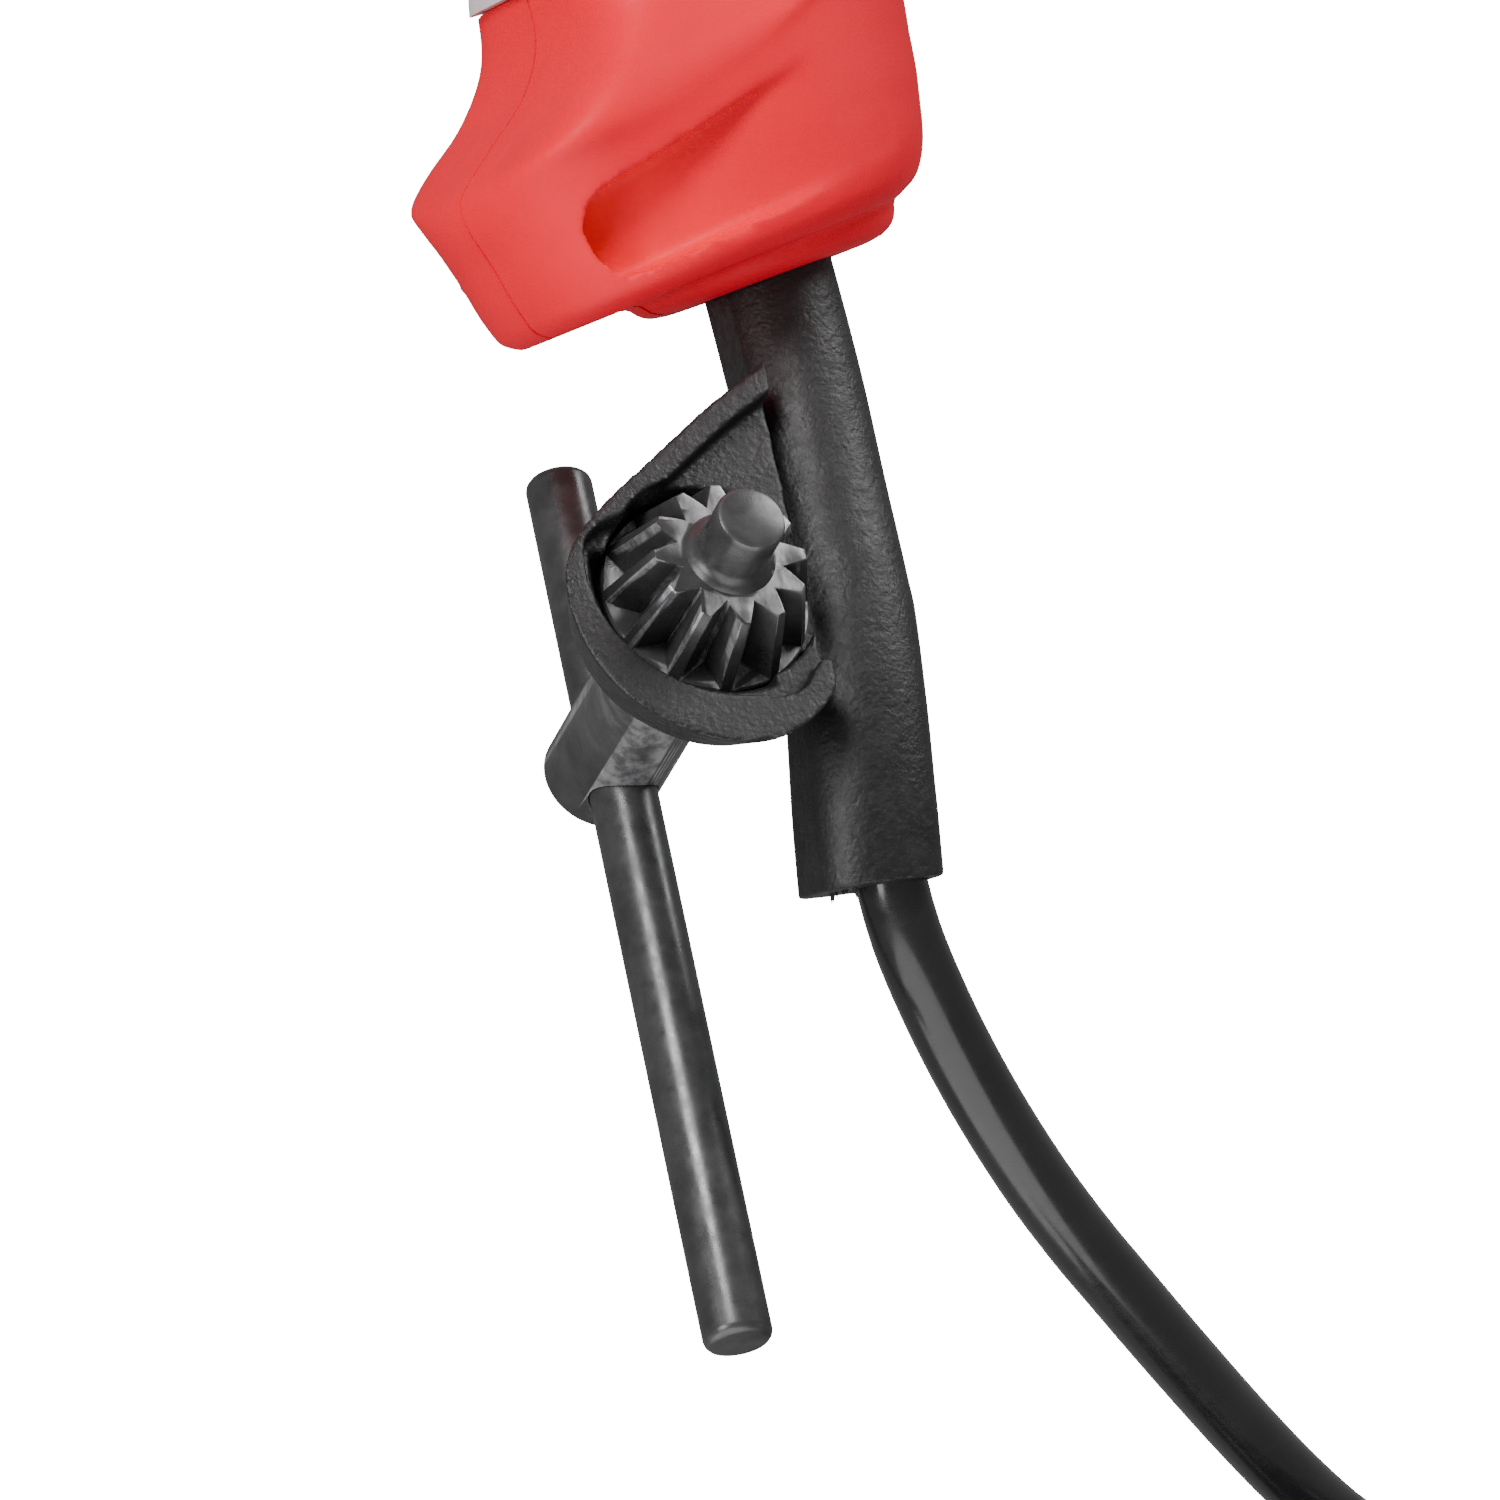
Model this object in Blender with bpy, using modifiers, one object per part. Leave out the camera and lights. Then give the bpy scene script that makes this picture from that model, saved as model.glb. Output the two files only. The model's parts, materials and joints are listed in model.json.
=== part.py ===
"""Corded pistol-grip drill with its chuck key held in the cord guard.

The drill lies on its right side.  +X runs rearward along the barrel, +Y is the drill's up and +Z its
left side.  The origin is on the flat rest pad of the motor housing, so the drill's centre plane is
AXIS_Z above it.  Sizes are in millimetres and the helpers turn them into metres.
"""

import math

import bmesh
import bpy
from mathutils import Matrix, Vector

# ---- driving dimensions -------------------------------------------------------------------------
MM = 0.001
GAP = 0.3  # between touching pieces
WALL = 2.6  # housing wall
AXIS_Z = 37.0  # centre plane above the table
MOTOR_Y = -4.0
SPINDLE_Y = 14.0
RAKE = math.radians(14)  # handle axis against the barrel's vertical
FOOT_X, FOOT_Y = 45.0, -160.0  # where the cord guard leaves the foot
BASE_SLOPE = 0.128  # the foot's underside rises towards the rear
RING_POINTS = 24
REAR_SQUARENESS = 2.5

GEAR_TEETH, PINION_TEETH = 40, 8
SPINDLE_NOSE_X = -98.0
CHUCK_BODY_R = 20.8
SLEEVE_R = 22.0
CHUCK_TEETH = 36
JAW_R = 2.9
JAW_TILT = math.radians(15)
JAW_LENGTH = 32.0
JAW_TIP_X = -163.0
JAW_BORE_LENGTH = 58.0
KEY_HOLE_R = 4.5
KEY_HOLE_CENTRE = Vector((-116.0, SPINDLE_Y, AXIS_Z))

GUARD_R = 7.6
CORD_R = 4.1
CORD_BORE_R = 4.5
KEY_TEETH = 12
KEY_TIP_R, KEY_BIG_R, KEY_FLANGE_R = 8.97, 12.03, 12.1
KEY_TOOTH_LENGTH, KEY_FLANGE_LENGTH = 9.1, 1.2
KEY_PILOT_R, KEY_PILOT_LENGTH = 4.0, 7.7
KEY_SHANK_R, KEY_SHANK_END = 6.8, 50.0
KEY_BAR_R, KEY_BAR_BACK = 3.95, 43.5
KEY_BAR_UP, KEY_BAR_DOWN = 36.5, 75.0
HOLDER_BACK, HOLDER_PLATE, HOLDER_RIM, HOLDER_WALL = 10.6, 3.2, 7.0, 3.0

COIL_CENTRE = (139.0, -367.0)
COIL_R = 46.0  # mid-turn radius
COIL_WIDTH, COIL_LOW, COIL_HIGH = 26.0, 1.4, 26.6
TIE_WIDTH, TIE_THICK = 8.0, 1.0
PLUG_R = 37.6  # the last turn leaves the coil here, along its tangent
PLUG_THICK, PLUG_WIDE, PLUG_LONG, RELIEF_LONG = 15.0, 24.0, 32.0, 24.0
PIN_PITCH, PIN_LONG, PIN_WIDE, PIN_THICK = 12.7, 17.0, 6.2, 1.5

# profile of the handle: height above the foot, front, rear, half width, squareness of its front
HANDLE = (
    (0.0, -29.3, 15.5, 18.2, 2.8), (0.9, -31.0, 18.0, 19.8, 2.8), (3.0, -32.2, 20.0, 20.8, 2.8),
    (9.6, -34.3, 22.4, 21.3, 2.9), (15.0, -36.1, 23.3, 21.6, 3.1), (17.6, -35.8, 23.8, 21.8, 4.0),
    (20.0, -33.2, 24.2, 22.0, 7.0), (23.0, -29.6, 24.6, 21.8, 8.4), (27.0, -24.6, 24.8, 21.0, 8.4),
    (33.0, -20.9, 26.0, 19.8, 6.2), (42.0, -20.7, 26.8, 18.8, 4.2), (60.0, -20.5, 28.0, 18.2, 2.8),
    (80.0, -19.8, 27.8, 18.0, 2.6), (100.0, -19.6, 26.0, 18.6, 2.5), (118.0, -21.0, 25.0, 20.0, 2.5),
    (134.0, -25.0, 28.0, 23.0, 2.4), (150.0, -30.0, 33.0, 26.0, 2.3),
)
# motor housing: x, centre y, half height, half width, squareness
BARREL = (
    (-37.0, 5.0, 32.0, 31.0, 2.3),
    (-27.0, 3.5, 34.0, 33.6, 2.4),
    (-8.0, 1.0, 36.2, 35.9, 2.4),
    (20.0, 0.0, 36.6, 36.4, 2.4),
    (56.0, 0.0, 36.2, 36.2, 2.4),
    (78.0, 0.0, 34.2, 34.4, 2.5),
    (88.0, 0.0, 29.6, 30.2, 2.6),
    (92.0, 0.0, 23.5, 24.5, 2.6),
)
# screws that join the halves, as x, y on the centre plane
BARREL_SCREWS = ((-20.0, 30.6), (60.0, 30.2), (62.0, -30.0))
HANDLE_SCREWS = ((-27.0, 10.0), (17.0, 34.0), (18.5, 78.0))  # g, h
# screws that hold the bearing plate in the gear case, as y and the distance from the centre plane
GEAR_CASE_SCREWS = tuple(
    (5.0 + 22.0 * math.sin(math.radians(a)), 22.5 * math.cos(math.radians(a))) for a in (15, 165, 220, 320)
)
CORD_ROUTE = (
    (47.2, -231.2, 52.1), (48.8, -236.3, 51.6), (51.6, -241.8, 50.5), (56.2, -248.5, 48.2),
    (62.4, -255.9, 45.0), (70.0, -263.5, 41.0), (77.9, -270.1, 36.8), (85.0, -275.3, 33.0),
    (92.5, -280.6, 28.8), (100.9, -286.3, 24.0), (109.9, -292.3, 19.0), (119.0, -298.2, 14.4),
    (128.3, -303.6, 10.2),
)

# ---- frames --------------------------------------------------------------------------------------


def metres(*values):
    return Vector(values) * MM


def foot(g, h, l=0.0):
    """A point of the handle frame: g rearward, h up the handle, l towards the left side."""
    x = FOOT_X + g * math.cos(RAKE) - h * math.sin(RAKE)
    y = FOOT_Y + g * math.sin(RAKE) + h * math.cos(RAKE)
    return Vector((x, y, AXIS_Z + l))


REARWARD = Vector((math.cos(RAKE), math.sin(RAKE), 0))
UPWARD = Vector((-math.sin(RAKE), math.cos(RAKE), 0))
LEFT = Vector((0, 0, 1))
FORWARD_X = Vector((-1, 0, 0))
FOOT_POINT = foot(0, 0)

KEY_AXIS = Vector((-0.126, 0.376, 0.918)).normalized()  # towards the key's pilot
KEY_UP = Vector((0.053, 0.927, -0.372))
KEY_UP = (KEY_UP - KEY_UP.dot(KEY_AXIS) * KEY_AXIS).normalized()
KEY_SIDE = KEY_UP.cross(KEY_AXIS).normalized()
KEY_FACE = FOOT_POINT + Vector((-20.2, -35.1, 23.05))  # centre of the gear's front face


def key_point(side, up, out):
    """A point of the key's frame; out is along the key from the gear's front face."""
    return KEY_FACE + side * KEY_SIDE + up * KEY_UP + out * KEY_AXIS


# ---- objects -------------------------------------------------------------------------------------

PART = bpy.data.collections.new("corded_drill")
CUTTERS = bpy.data.collections.new("cutters")


def material(name, colour, roughness, metallic=0.0):
    m = bpy.data.materials.new(name)
    m.use_nodes = True
    shader = m.node_tree.nodes["Principled BSDF"]
    shader.inputs["Base Color"].default_value = (*colour, 1)
    shader.inputs["Roughness"].default_value = roughness
    shader.inputs["Metallic"].default_value = metallic
    return m


def add(name, mesh, look=None):
    """An object of the part, or a cutter where it has no look."""
    made = bpy.data.objects.new(name, mesh)
    (PART if look else CUTTERS).objects.link(made)
    if look:
        made.data.materials.append(material(name, *LOOKS[look]))
    else:
        made.hide_render = True
        made.display_type = "WIRE"
    return made


def from_bmesh(name, bm, look=None):
    bmesh.ops.recalc_face_normals(bm, faces=bm.faces)
    mesh = bpy.data.meshes.new(name)
    bm.to_mesh(mesh)
    bm.free()
    return add(name, mesh, look)


def facing(direction, origin, turn=0.0):
    """A matrix that takes +Z to direction, and the origin in millimetres to its place."""
    spin = Vector(direction).to_track_quat("Z", "Y").to_matrix().to_4x4()
    return Matrix.Translation(Vector(origin) * MM) @ spin @ Matrix.Rotation(turn, 4, "Z")


def box(name, low, high, look=None, bevel=0.0, frame=None):
    """A box between two corners, in world millimetres or in a frame of its own."""
    bm = bmesh.new()
    low, high = Vector(low) * MM, Vector(high) * MM
    bmesh.ops.create_cube(bm, size=1)
    bmesh.ops.scale(bm, verts=bm.verts, vec=high - low)
    bmesh.ops.translate(bm, verts=bm.verts, vec=(low + high) / 2)
    made = from_bmesh(name, bm, look)
    if bevel:
        rounded(made, bevel)
    if frame:
        made.matrix_world = frame
    return made


def cylinder(name, start, end, radius, look=None, sides=24, bevel=0.0, end_radius=None):
    """A round bar from start to end."""
    start, end = Vector(start), Vector(end)
    bm = bmesh.new()
    bmesh.ops.create_cone(
        bm, cap_ends=True, segments=sides, depth=(end - start).length * MM,
        radius1=radius * MM, radius2=(radius if end_radius is None else end_radius) * MM,
    )
    made = from_bmesh(name, bm, look)
    made.matrix_world = facing(end - start, (start + end) / 2)
    if bevel:
        rounded(made, bevel, 1)
    return made


def rounded(made, width, segments=2):
    b = made.modifiers.new("rounded", "BEVEL")
    b.width = width * MM
    b.segments = segments
    b.limit_method = "ANGLE"
    b.angle_limit = math.radians(50)


def turned(name, profile, origin, direction, look=None, sides=32, closed=False):
    """A profile of (radius, height) pairs that runs down the outer side, turned about direction."""
    bm = bmesh.new()
    verts = [bm.verts.new(metres(r, 0, z)) for r, z in profile]
    for a, b in zip(verts, verts[1:] + verts[:1] if closed else verts[1:]):
        bm.edges.new((a, b))
    mesh = bpy.data.meshes.new(name)
    bm.to_mesh(mesh)
    bm.free()
    made = add(name, mesh, look)
    made.matrix_world = facing(direction, origin)
    screw = made.modifiers.new("turned", "SCREW")
    screw.axis = "Z"
    screw.angle = math.tau
    screw.steps = screw.render_steps = sides
    screw.use_merge_vertices = True
    screw.merge_threshold = 0.00001
    return made


def ring(name, inner, outer, low, high, origin, direction, look=None, sides=32):
    """A plain ring about direction."""
    profile = ((outer, high), (outer, low), (inner, low), (inner, high))
    return turned(name, profile, origin, direction, look, sides, closed=True)


def prism(name, outline, low, high, frame, look=None):
    """A flat outline in a frame's XY, from low to high along its Z."""
    bm = bmesh.new()
    bottom = [bm.verts.new(metres(x, y, low)) for x, y in outline]
    top = [bm.verts.new(metres(x, y, high)) for x, y in outline]
    bm.faces.new(bottom)
    bm.faces.new(top)
    for i, a in enumerate(bottom):
        j = (i + 1) % len(bottom)
        bm.faces.new((a, bottom[j], top[j], top[i]))
    made = from_bmesh(name, bm, look)
    made.matrix_world = frame
    return made


def loft(name, rings, look=None):
    """A closed skin through rings of world points in millimetres."""
    bm = bmesh.new()
    rows = [[bm.verts.new(p * MM) for p in r] for r in rings]
    for a, b in zip(rows, rows[1:]):
        for i in range(len(a)):
            j = (i + 1) % len(a)
            bm.faces.new((a[i], a[j], b[j], b[i]))
    bm.faces.new(rows[0])
    bm.faces.new(rows[-1])
    return from_bmesh(name, bm, look)


def combine(made, others, operation="DIFFERENCE", solver="EXACT"):
    """Cuts, joins or intersects an object with others, in order."""
    for other in others:
        b = made.modifiers.new(other.name[:40], "BOOLEAN")
        b.object = other
        b.operation = operation
        b.solver = solver
    return made


def tube(name, points, radius, look=None, resolution=2, closed=False):
    """A curve of straight pieces through points, with a round section and filled caps."""
    curve = bpy.data.curves.new(name, "CURVE")
    curve.dimensions = "3D"
    curve.bevel_depth = radius * MM
    curve.bevel_resolution = resolution
    curve.use_fill_caps = not closed
    spline = curve.splines.new("POLY")
    spline.points.add(len(points) - 1)
    for p, q in zip(spline.points, points):
        p.co = (*(Vector(q) * MM), 1)
    spline.use_cyclic_u = closed
    return add(name, curve, look)


def solid(made):
    """The curve object as a closed mesh, in the curve's place."""
    bpy.context.view_layer.update()
    mesh = bpy.data.meshes.new_from_object(made.evaluated_get(bpy.context.evaluated_depsgraph_get()))
    bm = bmesh.new()
    bm.from_mesh(mesh)
    bmesh.ops.remove_doubles(bm, verts=bm.verts, dist=0.00001)
    bmesh.ops.recalc_face_normals(bm, faces=bm.faces)
    bm.to_mesh(mesh)
    bm.free()
    name, home, place = made.name, made.users_collection[0], made.matrix_world.copy()
    bpy.data.objects.remove(made)
    whole = bpy.data.objects.new(name, mesh)
    home.objects.link(whole)
    whole.matrix_world = place
    if home is CUTTERS:
        whole.hide_render = True
        whole.display_type = "WIRE"
    return whole


def smooth_route(points, count):
    """count points evenly spaced on a Catmull-Rom curve through points."""
    knots = [Vector(p) for p in points]
    ends = [2 * knots[0] - knots[1], *knots, 2 * knots[-1] - knots[-2]]
    fine = []
    for a, b, c, d in zip(ends, ends[1:], ends[2:], ends[3:]):
        for i in range(16):
            t = i / 16
            fine.append(
                0.5 * (2 * b + (c - a) * t + (2 * a - 5 * b + 4 * c - d) * t * t
                       + (3 * b - a - 3 * c + d) * t**3)
            )
    fine.append(knots[-1])
    lengths = [0.0]
    for a, b in zip(fine, fine[1:]):
        lengths.append(lengths[-1] + (b - a).length)
    made, k = [], 0
    for i in range(count):
        want = lengths[-1] * i / (count - 1)
        while k < len(fine) - 2 and lengths[k + 1] < want:
            k += 1
        share = (want - lengths[k]) / (lengths[k + 1] - lengths[k])
        made.append(fine[k].lerp(fine[k + 1], share))
    return made


def toothed(teeth, root, tip, root_share=0.30, tip_share=0.13, phase=0.0):
    """A gear outline; the shares are a tooth's half widths as parts of the pitch."""
    pitch = math.tau / teeth
    made = []
    for i in range(teeth):
        middle = phase + i * pitch
        for r, offset in ((root, -root_share), (tip, -tip_share), (tip, tip_share), (root, root_share)):
            angle = middle + offset * pitch
            made.append((r * math.cos(angle), r * math.sin(angle)))
    return made


LOOKS = {
    "red": ((0.72, 0.03, 0.03), 0.42),
    "pale_grip": ((0.74, 0.70, 0.70), 0.65),
    "rubber": ((0.035, 0.035, 0.036), 0.62),
    "cord": ((0.02, 0.02, 0.021), 0.3),
    "black_steel": ((0.05, 0.048, 0.046), 0.38, 0.8),
    "steel": ((0.55, 0.55, 0.56), 0.32, 1.0),
    "alloy": ((0.33, 0.34, 0.35), 0.5, 0.9),
    "copper": ((0.6, 0.28, 0.12), 0.4, 0.9),
    "brass": ((0.7, 0.52, 0.22), 0.35, 1.0),
    "carbon": ((0.06, 0.06, 0.06), 0.7),
    "black_plastic": ((0.03, 0.03, 0.032), 0.45),
    "laminations": ((0.2, 0.2, 0.21), 0.55, 0.7),
}

# ---- housing -------------------------------------------------------------------------------------


def power(value, exponent):
    return math.copysign(abs(value) ** exponent, value)


def handle_ring(h, front, rear, width, squareness, shrink=0.0):
    """One section of the handle. Low sections lean with the sloping underside of the foot."""
    front, rear, width = front + shrink, rear - shrink, width - shrink
    lean = BASE_SLOPE * min(1.0, max(0.0, (40.0 - h) / 30.0))
    middle = front + 0.47 * (rear - front)
    made = []
    for i in range(RING_POINTS):
        angle = math.tau * i / RING_POINTS
        corner = 2 / (squareness if math.cos(angle) < 0 else REAR_SQUARENESS)
        along = power(math.cos(angle), corner)
        g = middle + along * (rear - middle if along > 0 else middle - front)
        made.append(foot(g, h + lean * (g - front), width * power(math.sin(angle), corner)))
    return made


def barrel_ring(x, middle, height, width, squareness, shrink=0.0):
    """One section of the motor housing."""
    made = []
    for i in range(RING_POINTS):
        angle = math.tau * i / RING_POINTS
        y = middle + (height - shrink) * power(math.sin(angle), 2 / squareness)
        made.append(Vector((x, y, AXIS_Z + (width - shrink) * power(math.cos(angle), 2 / squareness))))
    return made


def handle_at(h):
    """The handle's front, rear, half width and squareness at a height."""
    for low, high in zip(HANDLE, HANDLE[1:]):
        if low[0] <= h <= high[0]:
            share = (h - low[0]) / (high[0] - low[0])
            return [a + share * (b - a) for a, b in zip(low[1:], high[1:])]
    return list(HANDLE[-1][1:])


def grip_strip(name, heights, cover, outside, inside, look=None):
    """A strip that wraps the front of the handle, between two offsets from its skin."""
    rings = []
    for h in heights:
        front, rear, width, squareness = handle_at(h)
        middle = front + 0.47 * (rear - front)
        outer, inner = [], []
        for i in range(13):
            angle = math.pi + math.radians(cover) * (i / 6 - 1)
            for offset, side in ((outside, outer), (inside, inner)):
                g = middle + (middle - front + offset) * power(math.cos(angle), 2 / squareness)
                side.append(foot(g, h, (width + offset) * power(math.sin(angle), 2 / squareness)))
        rings.append(outer + inner[::-1])
    return loft(name, rings, look)


def screw_lines():
    """Both ends of each line across the split, on the right and on the left side."""
    places = [Vector((x, y, AXIS_Z)) for x, y in BARREL_SCREWS]
    places += [foot(g, h) for g, h in HANDLE_SCREWS]
    return places


def housing_hollow():
    """The space inside both halves, less the bosses and ribs that stand in it."""
    hollow = loft("hollow_barrel", [
        barrel_ring(x, y, a, b, n, WALL) for x, y, a, b, n in
        [(-45.0, *BARREL[0][1:]), *BARREL[:-1], (89.0, 0.0, 26.0, 27.0, 2.6)]
    ])
    handle = loft("hollow_handle", [
        handle_ring(h, a, b, w, n, WALL) for h, a, b, w, n in
        [(4.0, *handle_at(4.0)), *HANDLE[3:]]
    ])
    combine(hollow, [handle], "UNION")
    bosses = [
        cylinder(f"boss_{i}", p - 40 * LEFT, p + 40 * LEFT, 3.5, sides=16)
        for i, p in enumerate(screw_lines())
    ]
    seat = ring("rear_bearing_seat", 9.8, 50, -2.6, 2.6, (74.2, MOTOR_Y, AXIS_Z), (1, 0, 0))
    clamp_rib = box(
        "guard_rib", (-12.0, -30.0, 14.3), (14.0, 30.0, 17.3), frame=handle_frame()
    )
    return combine(hollow, [*bosses, seat, clamp_rib])


def handle_frame():
    """Rows of the handle frame as a matrix: X rearward, Y left, Z up the handle."""
    m = Matrix((REARWARD, -LEFT, UPWARD)).transposed().to_4x4()
    m.translation = FOOT_POINT * MM
    return m


def side_scoop(name, side):
    """The scooped recess low on one side of the foot, deepest at its front end."""
    outline = ((-27.0, 4.6), (-30.5, 12.4), (-21.0, 16.6), (-6.0, 21.5), (6.0, 26.0), (2.0, 9.5))
    bottom = [foot(g, h, side * (18.6 + 0.07 * (g + 30))) for g, h in outline]
    top = [foot(g, h, side * 30) for g, h in outline]
    return loft(name, [bottom, top])


def vent_cutters():
    """Cooling slots through the rear of the barrel and through its front flanks."""
    made = []
    for i in range(4):
        y = -13 + i * 7.8
        made.append(box(f"rear_slot_{i}", (80, y, -5), (120, y + 3.0, AXIS_Z - 9)))
        made.append(box(f"rear_slot_left_{i}", (80, y, AXIS_Z + 9), (120, y + 3.0, 2 * AXIS_Z + 5)))
    for i in range(4):
        x = -25.5 + i * 5.6
        made.append(box(f"flank_slot_{i}", (x, 15, -5), (x + 2.8, 24, 2 * AXIS_Z + 5)))
    return made


def housing():
    """The two red halves."""
    handle = loft("skin_handle", [handle_ring(*row) for row in HANDLE])
    exit_boss = exit_boss_solid()
    pads = box("side_pads", (-28, -13, 0), (40, 13, 2 * AXIS_Z))
    openings = [
        housing_hollow(),
        cylinder("guard_hole", foot(0, -6), foot(0, 20), GUARD_R + GAP),
        box("guard_flange_slot", (-10.3, -10.3, 9.7), (10.3, 10.3, 14.0), frame=handle_frame()),
        grip_strip("grip_bed", (38.6, 50, 60, 70, 83.4), 82, 3.0, -1.7),
        box("trigger_window", (-45, -8.6, 84.5), (-6, 8.6, 123.5), frame=handle_frame()),
        box("lever_slot", (-45, -5.5, 127.0), (-12, 5.5, 132.6), frame=handle_frame()),
        cylinder("lock_hole", foot(-4, 96, 8), foot(-4, 96, 40), 5.0),
        side_scoop("scoop_left", 1),
        side_scoop("scoop_right", -1),
        *vent_cutters(),
    ]
    heads = [cylinder(f"head_hole_{i}", p - 60 * LEFT, p - 13 * LEFT, 3.8, sides=16)
             for i, p in enumerate(screw_lines())]
    threads = [cylinder(f"thread_hole_{i}", p - 20 * LEFT, p + 11 * LEFT, 1.9, sides=12)
               for i, p in enumerate(screw_lines())]
    for name, low, high in (("housing_right", AXIS_Z - 0.15, 140), ("housing_left", -60, AXIS_Z + 0.15)):
        half = loft(name, [barrel_ring(*row) for row in BARREL], "red")
        beyond = box(f"beyond_{name}", (-120, -260, low), (160, 90, high))
        combine(half, [handle, exit_boss, pads], "UNION", "MANIFOLD")
        combine(half, [beyond, *openings, *threads], "DIFFERENCE", "MANIFOLD")
        combine(half, heads if low > 0 else [], "DIFFERENCE", "MANIFOLD")
    grip_strip("front_grip", (39, 50, 60, 70, 83), 80, 0.5, -1.4, "pale_grip")


def exit_boss_solid():
    """The rounded swelling under the foot that the cord guard leaves through."""
    rings = []
    for h, scale in ((9.0, 1.0), (2.2, 1.0), (0.4, 0.93), (-0.6, 0.78)):
        points = []
        for i in range(RING_POINTS):
            angle = math.tau * i / RING_POINTS
            g, l = 17.3 * scale * math.cos(angle), 13.5 * scale * math.sin(angle)
            points.append(foot(g, h + 0.09 * (g + 17), l))
        rings.append(points)
    return loft("exit_boss", rings)


def housing_fasteners():
    """Screws that enter from the right side."""
    profile = ((0, 0), (3.1, 0), (3.1, -2.2), (1.6, -2.6), (1.6, -22), (0, -22))
    for i, p in enumerate(screw_lines()):
        turned(f"housing_screw_{i + 1}", profile, p - 16.2 * LEFT, -LEFT, "steel", sides=12)


# ---- gear case and drive -------------------------------------------------------------------------


def gear_case():
    rows = (
        (-37.3, 5.0, 32.0, 31.0, 2.3), (-52, 7.0, 30.5, 29.5, 2.2), (-66, 10.0, 27.0, 26.5, 2.1),
        (-78, 13.0, 22.6, 22.6, 2.0), (-82, SPINDLE_Y, 21.5, 21.5, 2.0), (-97, SPINDLE_Y, 21.5, 21.5, 2.0),
    )
    inner = (
        (-30, 5.0, 28.6, 27.8, 2.3), (-52, 7.0, 27.0, 26.0, 2.2), (-64, 10.0, 22.5, 22.0, 2.1),
        (-72, 13.0, 15.0, 15.0, 2.0), (-84, SPINDLE_Y, 10.0, 10.0, 2.0),
    )
    case = loft("gear_case", [barrel_ring(*row) for row in rows], "alloy")
    bearing_seat = cylinder("front_seat", (-83, SPINDLE_Y, AXIS_Z), (-99, SPINDLE_Y, AXIS_Z), 11.3)
    case_screws = [
        cylinder(f"case_hole_{i}", (-30, y, AXIS_Z + z), (-47, y, AXIS_Z + z), 2.1, sides=12)
        for i, (y, z) in enumerate(GEAR_CASE_SCREWS)
    ]
    hollow = loft("gear_space", [barrel_ring(*row) for row in inner])
    pillars = [
        cylinder(f"pillar_{i}", (-40.9, y, AXIS_Z + z), (-60, y, AXIS_Z + z), 3.9, sides=12)
        for i, (y, z) in enumerate(GEAR_CASE_SCREWS)
    ]
    combine(case, [combine(hollow, pillars), bearing_seat, *case_screws])
    plate_rows = ((-34.0, 5.0, 26.4, 25.6, 2.3), (-40.5, 5.0, 26.4, 25.6, 2.3))
    plate = loft("bearing_plate", [barrel_ring(*row) for row in plate_rows], "alloy")
    combine(plate, [
        cylinder("plate_motor_bore", (-30, MOTOR_Y, AXIS_Z), (-45, MOTOR_Y, AXIS_Z), 9.8),
        cylinder("plate_spindle_bore", (-30, SPINDLE_Y, AXIS_Z), (-45, SPINDLE_Y, AXIS_Z), 6.8),
        *[cylinder(f"plate_hole_{i}", (-30, y, AXIS_Z + z), (-45, y, AXIS_Z + z), 2.1, sides=12)
          for i, (y, z) in enumerate(GEAR_CASE_SCREWS)],
    ])
    profile = ((0, 2.4), (3.3, 2.4), (3.3, 0), (1.8, 0), (1.8, -11), (0, -11))
    for i, (y, z) in enumerate(GEAR_CASE_SCREWS):
        turned(f"gear_case_screw_{i + 1}", profile, (-33.7, y, AXIS_Z + z), (1, 0, 0), "steel", sides=12)


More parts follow.
